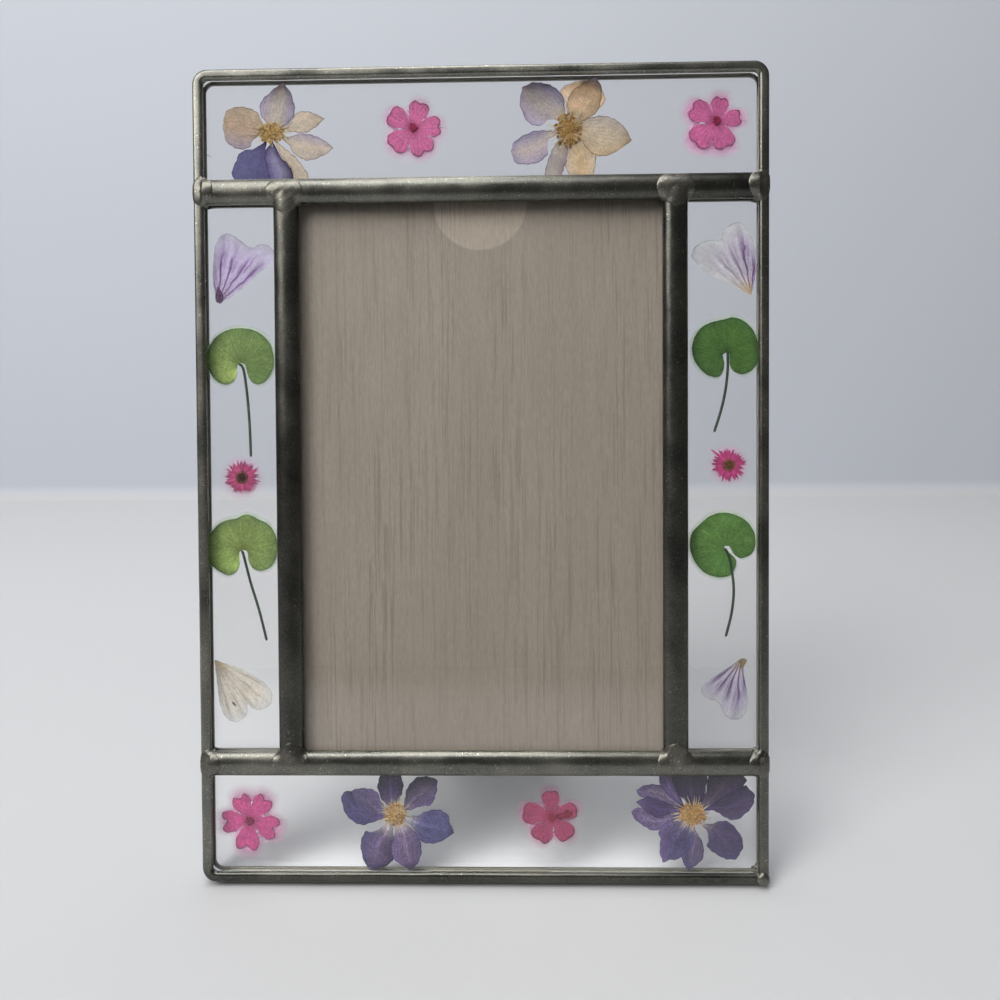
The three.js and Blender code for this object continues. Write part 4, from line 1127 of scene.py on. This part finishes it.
def dust(middle, spread, colour, seed):
    """A thin bed under the anthers: an ellipse with a wavy rim that fades outwards."""
    around = np.linspace(0, 2 * math.pi, 73)
    lobes = 1 + 0.16 * np.sin(7 * around + seed) + 0.1 * np.sin(16 * around)
    lobes[-1] = lobes[0]
    rows = np.linspace(0, 1, 12)[:, None]
    flat = middle + heading(around) * (spread * 1.02) * (rows * lobes)[..., None]
    tint = plain_tint(colour, flat.shape[:2])
    tint[..., :3] *= 1.1
    tint[..., 3] = 0.9 * (1 - rows ** 2)
    across, along = np.zeros(flat.shape[:2]), np.full(flat.shape[:2], 0.5)
    return sheet(flat, across, along, DUST_LEVEL, tint, 0.0, NO_RIM, strip_uv(*along.shape),
                 half=0.006)


def stamen(middle, end, bend, level, half_width, colours, taper=0.02):
    """A flat thread from the middle to `end`, pushed aside by `bend` half way."""
    return thread(curve([middle, (middle + end) / 2 + bend, end], 9), level, half_width, colours,
                  0.03, 6, taper)


def tuft(middle, spread, count, colours, seed):
    """Anthers at middle + spread * radius * (cos, sin), each with a thread from the middle, over
    half as many longer threads without anthers."""
    chance = np.random.default_rng(seed)
    middle, spread = np.array(middle), np.array(spread)
    grids = dust(middle, spread, colours[0], seed)
    for number in range(count // 2):
        turn = chance.uniform(0, 2 * math.pi)
        end = middle + spread * chance.uniform(1.2, 1.85) * heading(turn)
        grids += stamen(middle, end, chance.uniform(-0.3, 0.3, 2), THREAD_LEVEL + 0.0005 * number,
                        0.12, (colours[0], FILAMENT), taper=0.5)
    for number in range(count):
        turn = chance.uniform(0, 2 * math.pi)
        end = middle + spread * chance.uniform(0.02, 1) ** 0.7 * heading(turn)
        grids += stamen(middle, end, chance.uniform(-0.5, 0.5, 2), THREAD_LEVEL + 0.001 * number,
                        0.075, (colours[0], colours[2]))
        size = (chance.uniform(0.38, 0.66), chance.uniform(0.24, 0.38), 0.07)
        grids += grain((*end, ANTHER_LEVEL), size, chance.uniform(0, math.pi),
                       colours[number % len(colours)])
    return grids


print("anthers:", sum(row[2] for row in TUFTS.values()))

# %% [markdown]
# ## The finished larkspurs
# The petals of a flower are stacked from the rearmost to the frontmost between the panes, and
# the tuft lies over them. Near the upper edge of the frame the petals are painted lighter:
# painted light against the shadow that the edge came above casts on them. One loose hair lies
# beside the first flower.

# %% Larkspurs put together
# By strip: the material, the slot, and the strength of the veins.
LARKSPUR_LOOKS = {"top": (cream_larkspur, "cream_petal", 0.5),
                  "bottom": (violet_larkspur, "purple_petal", 0.9)}
REARMOST, FRONTMOST = -0.34, 0.22
PAINTED_LIGHT_FROM = 102.5
HAIR = [(-76.2, 88.9), (-75, 88.6), (-73.8, 88.2), (-72.9, 87.8)]

for name, petals in LARKSPURS.items():
    material, slot, veins = LARKSPUR_LOOKS[name.split("_")[1]]
    levels = np.linspace(REARMOST, FRONTMOST, len(petals))
    grids = []
    for level, (base, side, tip, other, colours) in zip(levels, petals):
        grids += spanned(base, side, tip, other, level, colours, veins, heart=TUFTS[name][0])
    # Painted light: near the upper edge the petals' colours are made lighter, against the shadow of the
    # edge came.
    for grid in grids:
        painted_light = 0.4 * np.clip((grid["points"][..., 1:2] - PAINTED_LIGHT_FROM) / 4.5, 0, 1)
        grid["tint"] = grid["tint"] * (1 + painted_light * [1, 1, 1, 0])
    grids += tuft(*TUFTS[name])
    if name == "larkspur_top_left":
        grids += thread(curve(HAIR, 20), THREAD_LEVEL, 0.06, ((96, 96, 100), (120, 120, 122)))
    finish_specimen(name, grids, material)

# %% [markdown]
# ## Verbenas
# A verbena flower has five petals, each a fan with a small notch in its rim. The petals pressed
# wet, so their dye bled and left a pink stain on the glass all round. A fan is drawn in polar
# form about the middle of the flower. Its radius falls off towards both sides as a cube root,
# which keeps the rim broad and round, and a bell curve takes the notch out of it. The stain
# follows the outermost petal in each direction. A small disc closes the throat, with a heart of
# dark grains on it.

# %% Verbenas
# The middle, the petals as direction, length, half spread and notch, the colours (petal, heart
# and stain), how far the stain reaches, and how strong it is.
VERBENAS = {
    "verbena_top_left": (
        (-17.9, 95), [(73, 7.5, 34, 0.1), (3, 7.8, 33, 0.11), (-65, 8.2, 38, 0.12),
                      (-137, 8.2, 37, 0.07), (149, 7.8, 35, 0.06)],
        (194, 114, 158), (164, 44, 88), (240, 160, 210), 2.8, 0.4),
    "verbena_top_right": (
        (63.8, 95.6), [(79, 6.6, 32, 0.07), (8, 6.8, 31, 0.09), (-70, 8, 36, 0.08),
                       (-134, 8.8, 36, 0.07), (152, 8, 36, 0.08)],
        (192, 108, 156), (160, 34, 82), (242, 140, 204), 3.4, 0.5),
    "verbena_bottom_left": (
        (-64.8, -94.2), [(184, 8.3, 35, 0.24), (-20, 8.7, 36, 0.22), (-97, 8.8, 35, 0.2),
                         (113, 7.8, 31, 0.15), (53, 8.4, 31, 0.16)],
        (202, 94, 154), (150, 28, 74), (244, 150, 208), 3.8, 0.5),
    "verbena_bottom_right": (
        (18.8, -93), [(95, 7.3, 31, 0.05), (171, 8.3, 34, 0.04), (-121, 8, 35, 0.07),
                      (-51, 7.8, 33, 0.05), (19, 7, 31, 0)],
        (172, 74, 114), (170, 22, 74), (232, 140, 190), 2.8, 0.42),
}
THROAT_LEVEL = -0.27
FIRST_FAN_LEVEL = -0.2
STAIN_LEVEL = -0.36


def fan_radius(turn, length, notch):
    """length * (1 - notch * exp(-(turn / 0.24)^2)) * cbrt(1 - |turn|^3), turn from -1 to 1."""
    round_off = np.cbrt(np.clip(1 - np.abs(turn) ** 3, 0, 1))
    return length * (1 - notch * np.exp(-(turn / 0.24) ** 2)) * round_off


def throat(middle, radius, colours):
    """A disc in the middle of the flower, where its petals meet. It has no dried rim and fades
    outwards under them."""
    around = np.linspace(0, 2 * math.pi, 121)
    grids = rayed(middle, (middle + radius * heading(around))[:-1], THROAT_LEVEL, colours, 0.5,
                  0.95, 0.2, 14, 60)
    for grid in grids:
        grid["marks"][..., 1] = NO_RIM
        grid["tint"][..., 3] = 0.95 * (1 - np.linspace(0, 1, 14)[:, None] ** 3)
    return grids


def verbena(name, middle, fans, petal, heart, stain, reach, strength):
    """Five rayed fans, each a little above the last, over the film of the stain."""
    middle = np.array(middle)
    colours = petal, petal, petal, heart, petal
    around = np.linspace(0, 2 * math.pi, 121)
    furthest = np.full(around.shape, 2.0)
    grids = []
    for number, (direction, length, spread, notch) in enumerate(fans):
        even = np.linspace(-1, 1, 61)
        turn = 0.25 * even ** 3 + 0.75 * even
        radius = fan_radius(turn, length, notch)
        edge = middle + radius[:, None] * heading(np.radians(direction + spread * turn))
        grids += rayed(middle, edge[1:-1], FIRST_FAN_LEVEL + STACK_STEP * number, colours, 0.6,
                       0.95, 0.09, 26, 60)
        offset = (np.degrees(around) - direction + 180) % 360 - 180
        fan = fan_radius(np.clip(offset / spread, -1, 1), length, notch)
        furthest = np.maximum(furthest, np.where(np.abs(offset) < spread, fan, 0))
    grids += throat(middle, 0.45 * np.mean([fan[1] for fan in fans]), colours)
    rim = middle + smooth_ring(furthest, 17)[:, None] * heading(around)
    rim[-1] = rim[0]
    grids += halo(middle, rim, reach, STAIN_LEVEL, stain, strength, under=1.2)
    for number in range(16):
        spot = middle + 0.95 * (number / 16) ** 0.7 * heading(number * 2.4)
        grids += grain((*spot, 0.17 + 0.003 * number), (0.46, 0.3, 0.05), number * 1.3, heart)
    if name == "verbena_bottom_right":
        grids += spanned((19.4, -93.1), [(20.8, -92), (22.8, -91.2)], (24.7, -91.4),
                         [(21, -93.7), (23.4, -93)], 0.16, [heart] * 5, 0.5, 0.5, 0.2)
    finish_specimen(name, grids, verbena_petal)


for name, row in VERBENAS.items():
    verbena(name, *row)

# %% [markdown]
# ## Mallow petals
# The side strips hold single mallow petals, heart-shaped and nearly clear. Their veins start
# thick and purple at the stalk end and fork towards the rim, where they fade. A petal is rayed
# from that end, so its veins spread by themselves. One of the four has turned tan, with a small
# violet mark. On two others the stalk end is thicker, and a second small sheet darkens it.

# %% Mallow petals
# The stalk end, the outline from there and back, the colours (first side, middle, last side,
# stalk end, rim), the strength of the veins on the first and the last side, and how much of the
# light the petal stops.
MALLOWS = {
    "mallow_petal_upper_left": ((-71.6, 48.3), [
        (-72.7, 51.5), (-73.1, 55), (-72.9, 59), (-72.4, 63.3), (-71.2, 66), (-69.2, 67.1),
        (-67, 66.3), (-65, 64.8), (-63.3, 63.5), (-62, 63.2), (-60.8, 63.8), (-59, 64.1),
        (-57.3, 63.4), (-56, 61.6), (-56.3, 59.7), (-58.5, 57.9), (-61.5, 55.4), (-65, 52.2),
        (-68.5, 49.8)],
        ((192, 176, 206), (196, 182, 212), (196, 184, 210), (132, 92, 136), (192, 190, 204)),
        (0.9, 0.9), 0.55),
    "mallow_petal_lower_left": ((-74, -49.6), [
        (-72.8, -49.9), (-70.5, -50.9), (-68.3, -51.6), (-66, -52.2), (-64.2, -53.4), (-62, -54.7),
        (-60, -56.2), (-58.5, -58.2), (-58.1, -60.2), (-58.9, -62), (-60.7, -63.2), (-62.3, -63.4),
        (-64, -62.8), (-64.9, -61.6), (-65, -62.6), (-65.2, -64.5), (-66.4, -66), (-68.4, -66.8),
        (-70.4, -66), (-72, -64), (-72.8, -61), (-73.2, -57), (-73.7, -53)],
        ((204, 202, 194), (206, 198, 184), (204, 200, 190), (198, 172, 130), (200, 200, 198)),
        (0.9, 0.9), 0.6),
    "mallow_petal_upper_right": ((73, 49), [
        (71.8, 49.5), (70, 51), (68, 52.2), (65.5, 52.9), (63, 54), (60.8, 55), (59.3, 56.6),
        (57.7, 58.3), (57.1, 59.3), (57.4, 60.8), (58.2, 62.1), (60, 63.2), (62.3, 63.7),
        (64.2, 63.5), (65.2, 64.2), (65.3, 65.5), (66.3, 67), (68.2, 68.1), (70, 68.3),
        (71.5, 66.9), (72.9, 64.6), (73.9, 62), (74.5, 58.5), (74.3, 55), (73.8, 52)],
        ((198, 200, 196), (192, 186, 196), (160, 136, 178), (194, 168, 112), (204, 206, 206)),
        (0.1, 1.3), 0.5),
    "mallow_petal_lower_right": ((70.2, -49.6), [
        (68.7, -50.8), (67, -52.2), (65.2, -53.4), (63, -54.8), (60.5, -56.2), (59.6, -57.6),
        (59.9, -59.2), (61.4, -60.4), (63.2, -60.9), (64.4, -61.6), (64.9, -62.8), (65.9, -64.9),
        (67.5, -66), (69.4, -66.1), (71, -65), (71.9, -62.8), (72.1, -60), (71.6, -57),
        (71.1, -54), (70.9, -51.2)],
        ((172, 166, 182), (172, 164, 184), (160, 154, 178), (160, 142, 112), (182, 182, 186)),
        (1.0, 1.0), 0.5),
}
# A patch is the base, one side, tip and other side of a sheet, its colour, and its cover.
STALK_ENDS = {
    "mallow_petal_lower_right": ((71.8, -50), [(71.2, -49.5), (70.2, -49.6)], (69.8, -52.3),
                                 [(71.6, -50.7), (70.9, -51.7)], (150, 132, 96), 0.65),
    "mallow_petal_upper_left": ((-71.3, 48.1), [(-72.3, 48.7), (-72.4, 50.2)], (-71.7, 53),
                                [(-70.4, 48.7), (-70.3, 50.2)], (116, 82, 120), 0.55),
}
TAN_PETAL = "mallow_petal_lower_left"
for name, (stalk, outline, colours, veins, cover) in MALLOWS.items():
    grids = rayed(np.array(stalk), outline, 0.0, colours, veins, cover, 0.05, 40, 130)
    if name == TAN_PETAL:
        grids += grain((-68.7, -61.8, 0.06), (0.9, 0.26, 0.03), -0.8, (126, 108, 148))
    if name in STALK_ENDS:
        *shape, colour, patch_cover = STALK_ENDS[name]
        grids += spanned(*shape, 0.07, [colour] * 5, 0.3, patch_cover, 0.05)
    look = tan_mallow if name == TAN_PETAL else mallow_petal
    finish_specimen(name, grids, look)

# %% [markdown]
# ## Round leaves
# The leaves are nearly round, and the stalk joins at the bottom of a deep notch. Fine pale veins
# radiate from that joint and fork before the rim. The outline runs from one lobe round to the
# other, and its rays start on a small curve that rounds the end of the notch. The stalk is a
# flattened thread along a smooth curve, darker than the blade, and a pale green stain follows
# the rim.

# %% Leaves and their stalks
# Where the stalk joins, the two corners at the end of the notch, the outline from one lobe
# round to the other, the stalk, the colours (first side, middle, last side, joint, rim), and the
# slot.
LEAVES = {
    "leaf_upper_left": ((-65.7, 31.9), ((-66.7, 31.3), (-64.6, 31.5)), [
        (-66.9, 29.2), (-67.2, 27.9), (-68.1, 26.8), (-70, 26.1), (-72.6, 27.2), (-74.3, 29.7),
        (-75, 33), (-74.3, 36.5), (-72.2, 39.3), (-69, 41), (-65.5, 41.4), (-61.8, 40.7),
        (-58.9, 38.7), (-57.2, 35.9), (-56.6, 32), (-57.3, 29.5), (-58.8, 27.2), (-61, 26.1),
        (-62.8, 26.8), (-63.7, 28.2), (-64, 29.4)],
        [(-66.4, 31.6), (-65.4, 31.1), (-64.7, 28.9), (-63.9, 22), (-63.4, 14), (-63.2, 6.1)],
        # The first side, on the left, is painted lighter: painted light against the shadow of the edge
        # came.
        ((160, 180, 112), (112, 136, 82), (102, 128, 76), (96, 120, 70), (104, 130, 82)),
        "pale_leaf"),
    "leaf_lower_left": ((-65.7, -19.3), ((-66.8, -19.8), (-64.6, -19.7)), [
        (-66.8, -22.6), (-67.1, -24.2), (-68.2, -25.6), (-70, -26.2), (-72.3, -25.2),
        (-74.5, -23.4), (-75.6, -20.5), (-75.6, -17.5), (-74.5, -14.5), (-72.5, -12.3), (-70, -11.1),
        (-67.7, -10.7), (-65, -9.6), (-62.8, -10.2), (-61.2, -11.1), (-59.2, -12), (-57.6, -13.7),
        (-56.6, -16), (-56.3, -19), (-56.9, -22), (-58.4, -24.1), (-60.9, -25), (-63, -24.4),
        (-63.9, -23.3), (-64.3, -22)],
        [(-66.2, -19.3), (-65.7, -20.2), (-65, -23), (-63.6, -28.6), (-61.4, -36), (-59.4, -44.4)],
        # The first side, on the left, is painted lighter: painted light against the shadow of the edge
        # came.
        ((152, 178, 106), (126, 146, 88), (116, 138, 84), (112, 128, 70), (110, 134, 86)),
        "pale_leaf"),
    "leaf_upper_right": ((66.5, 33.6), ((65.4, 32.9), (67.2, 33.2)), [
        (65.9, 30.7), (65.6, 28.8), (64.7, 27.3), (63.3, 27), (61, 27.8),
        (58.9, 29.8), (57.6, 32.2), (57.2, 35), (57.9, 37.8), (59.6, 40.2), (61.8, 41.5),
        (64, 42.1), (66, 42.5), (68, 43), (70.3, 42.4), (72.5, 40.8), (74.1, 38.4),
        (74.9, 35.5), (75, 32), (74, 29.6), (72.4, 28.2), (70.5, 27.7), (68.8, 28.3),
        (67.7, 29.4), (67.2, 30.9)],
        [(66.6, 34.2), (66.7, 32.6), (66.7, 29), (66.1, 23.5), (64.9, 18), (63, 12)],
        ((70, 106, 52), (70, 108, 48), (72, 108, 48), (56, 92, 42), (62, 98, 52)),
        "green_leaf"),
    "leaf_lower_right": ((65.9, -18.9), ((67.1, -18.8), (66.2, -19.9)), [
        (68.1, -20.5), (68.9, -21.5), (70.3, -22.1), (72.3, -21.5), (73.8, -19.9),
        (74.2, -17.2), (73.6, -14.6), (72.1, -12.4), (70, -10.9), (67.5, -10), (65, -9.8),
        (62.3, -10.5), (60.2, -12), (58.6, -13.5), (57.1, -15.3), (56.5, -18), (56.9, -20.8),
        (58.4, -23.8), (60.4, -25.9), (62.5, -26.9), (65, -27.3), (67.4, -26.7), (68.7, -24.9),
        (69, -23), (68.6, -22), (67.9, -21.2)],
        [(65.9, -19.3), (67, -21.6), (67.8, -25.6), (68.3, -31), (67.7, -37), (66.1, -43.6)],
        ((84, 122, 64), (90, 128, 66), (88, 130, 70), (84, 118, 64), (80, 118, 62)),
        "green_leaf"),
}
BLADE_LEVEL = -0.12
STALK_LEVEL = 0.1
STALK = (58, 82, 58)
STALK_END = (82, 98, 88)
LEAF_STAIN = (178, 208, 158)
for name, (joint, (first, last), outline, stalk, colours, slot) in LEAVES.items():
    grids = rayed(joint, outline, BLADE_LEVEL, colours, 0.8, 0.97, 0.03, 40, 190,
                  (first, joint, last))
    grids += thread(curve(stalk, 60), STALK_LEVEL, 0.37, (STALK, STALK_END), 0.17)
    grids += halo(joint, curve(outline, 120), 1.3, STAIN_LEVEL, LEAF_STAIN, 0.4)
    finish_specimen(name, grids, leaf_blade)

# %% [markdown]
# ## Daisies
# Each small daisy is a disc of about thirty narrow rays in two layers, with a ring of dried
# florets round a brown core. A ray is spanned like a petal, but its side curves come from a
# formula: the half width swells as a sine and stays blunt at the tip. Lengths and directions are
# a little uneven, from a seed. One ray of the right daisy has come loose.

# %% Daisies
# The middle, the radius, the number of rays, the colours (ray, its root, ring and core), the
# radius of the core, and the seed.
DAISIES = {
    "daisy_left": ((-65.8, 0.6), 5.1, 34, (178, 84, 126), (140, 56, 84), (140, 96, 80),
                   (66, 36, 32), 1.25, 81),
    "daisy_right": ((67, 3.2), 4.8, 26, (186, 72, 130), (160, 60, 100), (150, 96, 76),
                    (112, 76, 48), 1.2, 82),
}
DAISY_STAIN = (226, 150, 200)
RING_RADIUS = 1.9


def daisy_rays(middle, size, count, ray, root, seed):
    """Two layers of spanned rays. Half width = 0.58 pi size / count * (0.4 + 0.8 sin(2.6 share))
    * (1 - share^3.5), with share from the root to the tip."""
    chance = np.random.default_rng(seed)
    share = np.linspace(0.1, 0.97, 6)
    swell = (0.4 + 0.8 * np.sin(share * 2.6)) * (1 - share ** 3.5)
    half = 0.58 * math.pi * size / count * swell
    grids = []
    for number in range(2 * count):
        layer, place = divmod(number, count)
        turn = 2 * math.pi * (place + 0.5 * layer + chance.uniform(-0.22, 0.22)) / count
        length = size * chance.uniform(0.82, 1.08) * (1 - 0.06 * layer)
        ahead = heading(turn)
        beside = np.array([-ahead[1], ahead[0]])
        root_at = middle + 0.18 * size * ahead
        tip = middle + length * ahead + beside * chance.uniform(-0.1, 0.1)
        spine = root_at + (tip - root_at) * share[:, None]
        level = -0.24 + 0.16 * layer + 0.0035 * place
        tone = chance.uniform(0.88, 1.08)
        body = tuple(min(255, channel * tone) for channel in ray)
        grids += spanned(root_at, spine + beside * half[:, None], tip,
                         spine - beside * half[:, None], level, (body, body, body, root, body),
                         0.5, 0.95, 0.02, 16, 7)
    return grids


def florets(middle, radius, level, colour):
    """A low dome with a bumpy outline that fades at its rim: height 0.02 * sqrt(1 - share^2)."""
    around = np.linspace(0, 2 * math.pi, 61)
    rows = np.linspace(0, 1, 12)[:, None]
    bumpy = 1 + 0.05 * np.sin(5 * around + 1) + 0.06 * np.sin(17 * around)
    bumpy = bumpy + 0.05 * np.sin(23 * around)
    bumpy[-1] = bumpy[0]
    flat = middle + heading(around) * (radius * rows * bumpy)[..., None]
    dome = 0.02 * np.sqrt(np.clip(1 - rows ** 2, 0, 1)) + 0 * around
    tint = plain_tint(colour, dome.shape)
    tint[..., 3] = 0.95 * (1 - rows ** 2.5)
    heights = [level + face * dome for face in (1, -0.2)]
    return [unmarked(np.concatenate([flat, z[..., None]], -1), tint) for z in heights]


def daisy(name, middle, size, count, ray, root, ring, core, core_size, seed):
    """Rays, then a ring and a core, over a faint stain."""
    middle = np.array(middle)
    grids = daisy_rays(middle, size, count, ray, root, seed)
    grids += florets(middle, RING_RADIUS, 0.1, ring) + florets(middle, core_size, 0.2, core)
    if name == "daisy_right":
        grids += spanned((64.6, 5.6), [(63.8, 6.5), (62.9, 7.2)], (62.2, 7.5),
                         [(63.7, 6.0), (62.7, 6.8)], -0.2, (ray, ray, ray, root, ray),
                         0.5, 0.95, 0.02, 16, 7)
    rim = middle + heading(np.linspace(0, 2 * math.pi, 61)) * size * 0.9
    grids += halo(middle, rim, 2.0, -0.38, DAISY_STAIN, 0.2)
    finish_specimen(name, grids, daisy_ray)


for name, row in DAISIES.items():
    daisy(name, *row)

# %% [markdown]
# ## The print
# The print in the window is paper with a plain wood grain. Each part of the grain is a noise
# stretched upright: fine fibres, long dark pores that come in groups, and broad bands of brown
# and grey. Paper lets a little light through, and the thumb notch in the plate behind lets light
# reach it from behind as a paler half moon. That half moon is painted light: the paper's colour is
# made lighter there, by its distance from the middle of the notch.

# %% Print paper
NOTCH_MIDDLE = tuple(float(v) for v in to_room((0, 74.5, 0)))
NOTCH_RADIUS = 12.7 * MM
NOTCH_EDGE = 0.2 * MM

wood = Finish("wood_grain_and_backlight")
fibres = wood.noise(wood.place(stretch=(3400, 420, 420)), 1.0, 4, 0.7)
lines = wood.noise(wood.place(stretch=(1400, 34, 34)), 1.0, 5, 0.7, 0.3)
groups = wood.noise(wood.place(stretch=(95, 9, 9)), 1.0, 3, 0.6)
bands = wood.noise(wood.place(stretch=(60, 12, 12)), 1.0, 3, 0.5)
print_and_backlight = wood.mix(wood.ramp(bands, 0.3, 0.7), rgb(155, 145, 132), rgb(161, 151, 139))
print_and_backlight = wood.shade(print_and_backlight, wood.ramp(fibres, 0.3, 0.7, 0.88, 1.08))
pores = wood.times(wood.ramp(lines, 0.48, 0.62), wood.ramp(groups, 0.36, 0.64, 0.12, 0.5))
print_and_backlight = wood.mix(pores, print_and_backlight, rgb(112, 101, 92))
# Painted light: the paper is made lighter over the thumb notch, for the light that shines through it from
# behind.
from_notch = wood.node("VectorMath", {0: wood.place(), 1: NOTCH_MIDDLE},
                       operation="DISTANCE").outputs["Value"]
paler = wood.ramp(from_notch, NOTCH_RADIUS - NOTCH_EDGE, NOTCH_RADIUS + NOTCH_EDGE, 1.32, 1.0)
print_and_backlight = wood.shade(print_and_backlight, paler)
wood.set(Base_Color=print_and_backlight, Roughness=0.5)
glow = wood.node("BsdfTranslucent", {"Color": print_and_backlight}).outputs[0]
through = wood.node("MixShader", {0: 0.33, 1: wood.shader.outputs[0], 2: glow}).outputs[0]
wood.feed(wood.out.inputs["Surface"], through)
finish_node(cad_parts["photo_insert"], wood.material)
print("the notch is", round(2 * NOTCH_RADIUS / MM, 1), "mm wide")

# %% [markdown]
# ## The metal behind
# The plate, hinge and leg are tinned sheet, dull grey with a mottled bloom and faint brush
# marks. Cut sheet never has a perfectly sharp edge, so a narrow bevel softens theirs, after a
# weld has joined the loose triangles of the construction model.

# %% Tinned sheet
tin = Finish("tinned_sheet")
bloom = tin.noise(tin.place(), 120, 5, 0.6)
brushed = tin.noise(tin.place(stretch=(3000, 160, 160)), 1.0, 3, 0.6)
tin.set(Base_Color=tin.mix(tin.ramp(bloom, 0.3, 0.7), rgb(150, 152, 152), rgb(168, 170, 169)),
        Metallic=0.9, Roughness=tin.ramp(brushed, 0.3, 0.7, 0.32, 0.5),
        Normal=tin.bump(brushed, 0.00003, 0.4))

SHEET_METAL = ("back_plate", "hinge_plate", "hinge_pin", "easel_leg")
for name in SHEET_METAL:
    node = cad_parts[name]
    finish_node(node, tin.material)
    weld = node.modifiers.new("weld", "WELD")
    weld.merge_threshold = 1e-6
    bevel = node.modifiers.new("soft_edges", "BEVEL")
    bevel.width = 0.15 * MM
    bevel.segments = 2
    bevel.limit_method = "ANGLE"
    bevel.angle_limit = math.radians(35)
print("sheet-metal pieces:", len(SHEET_METAL))
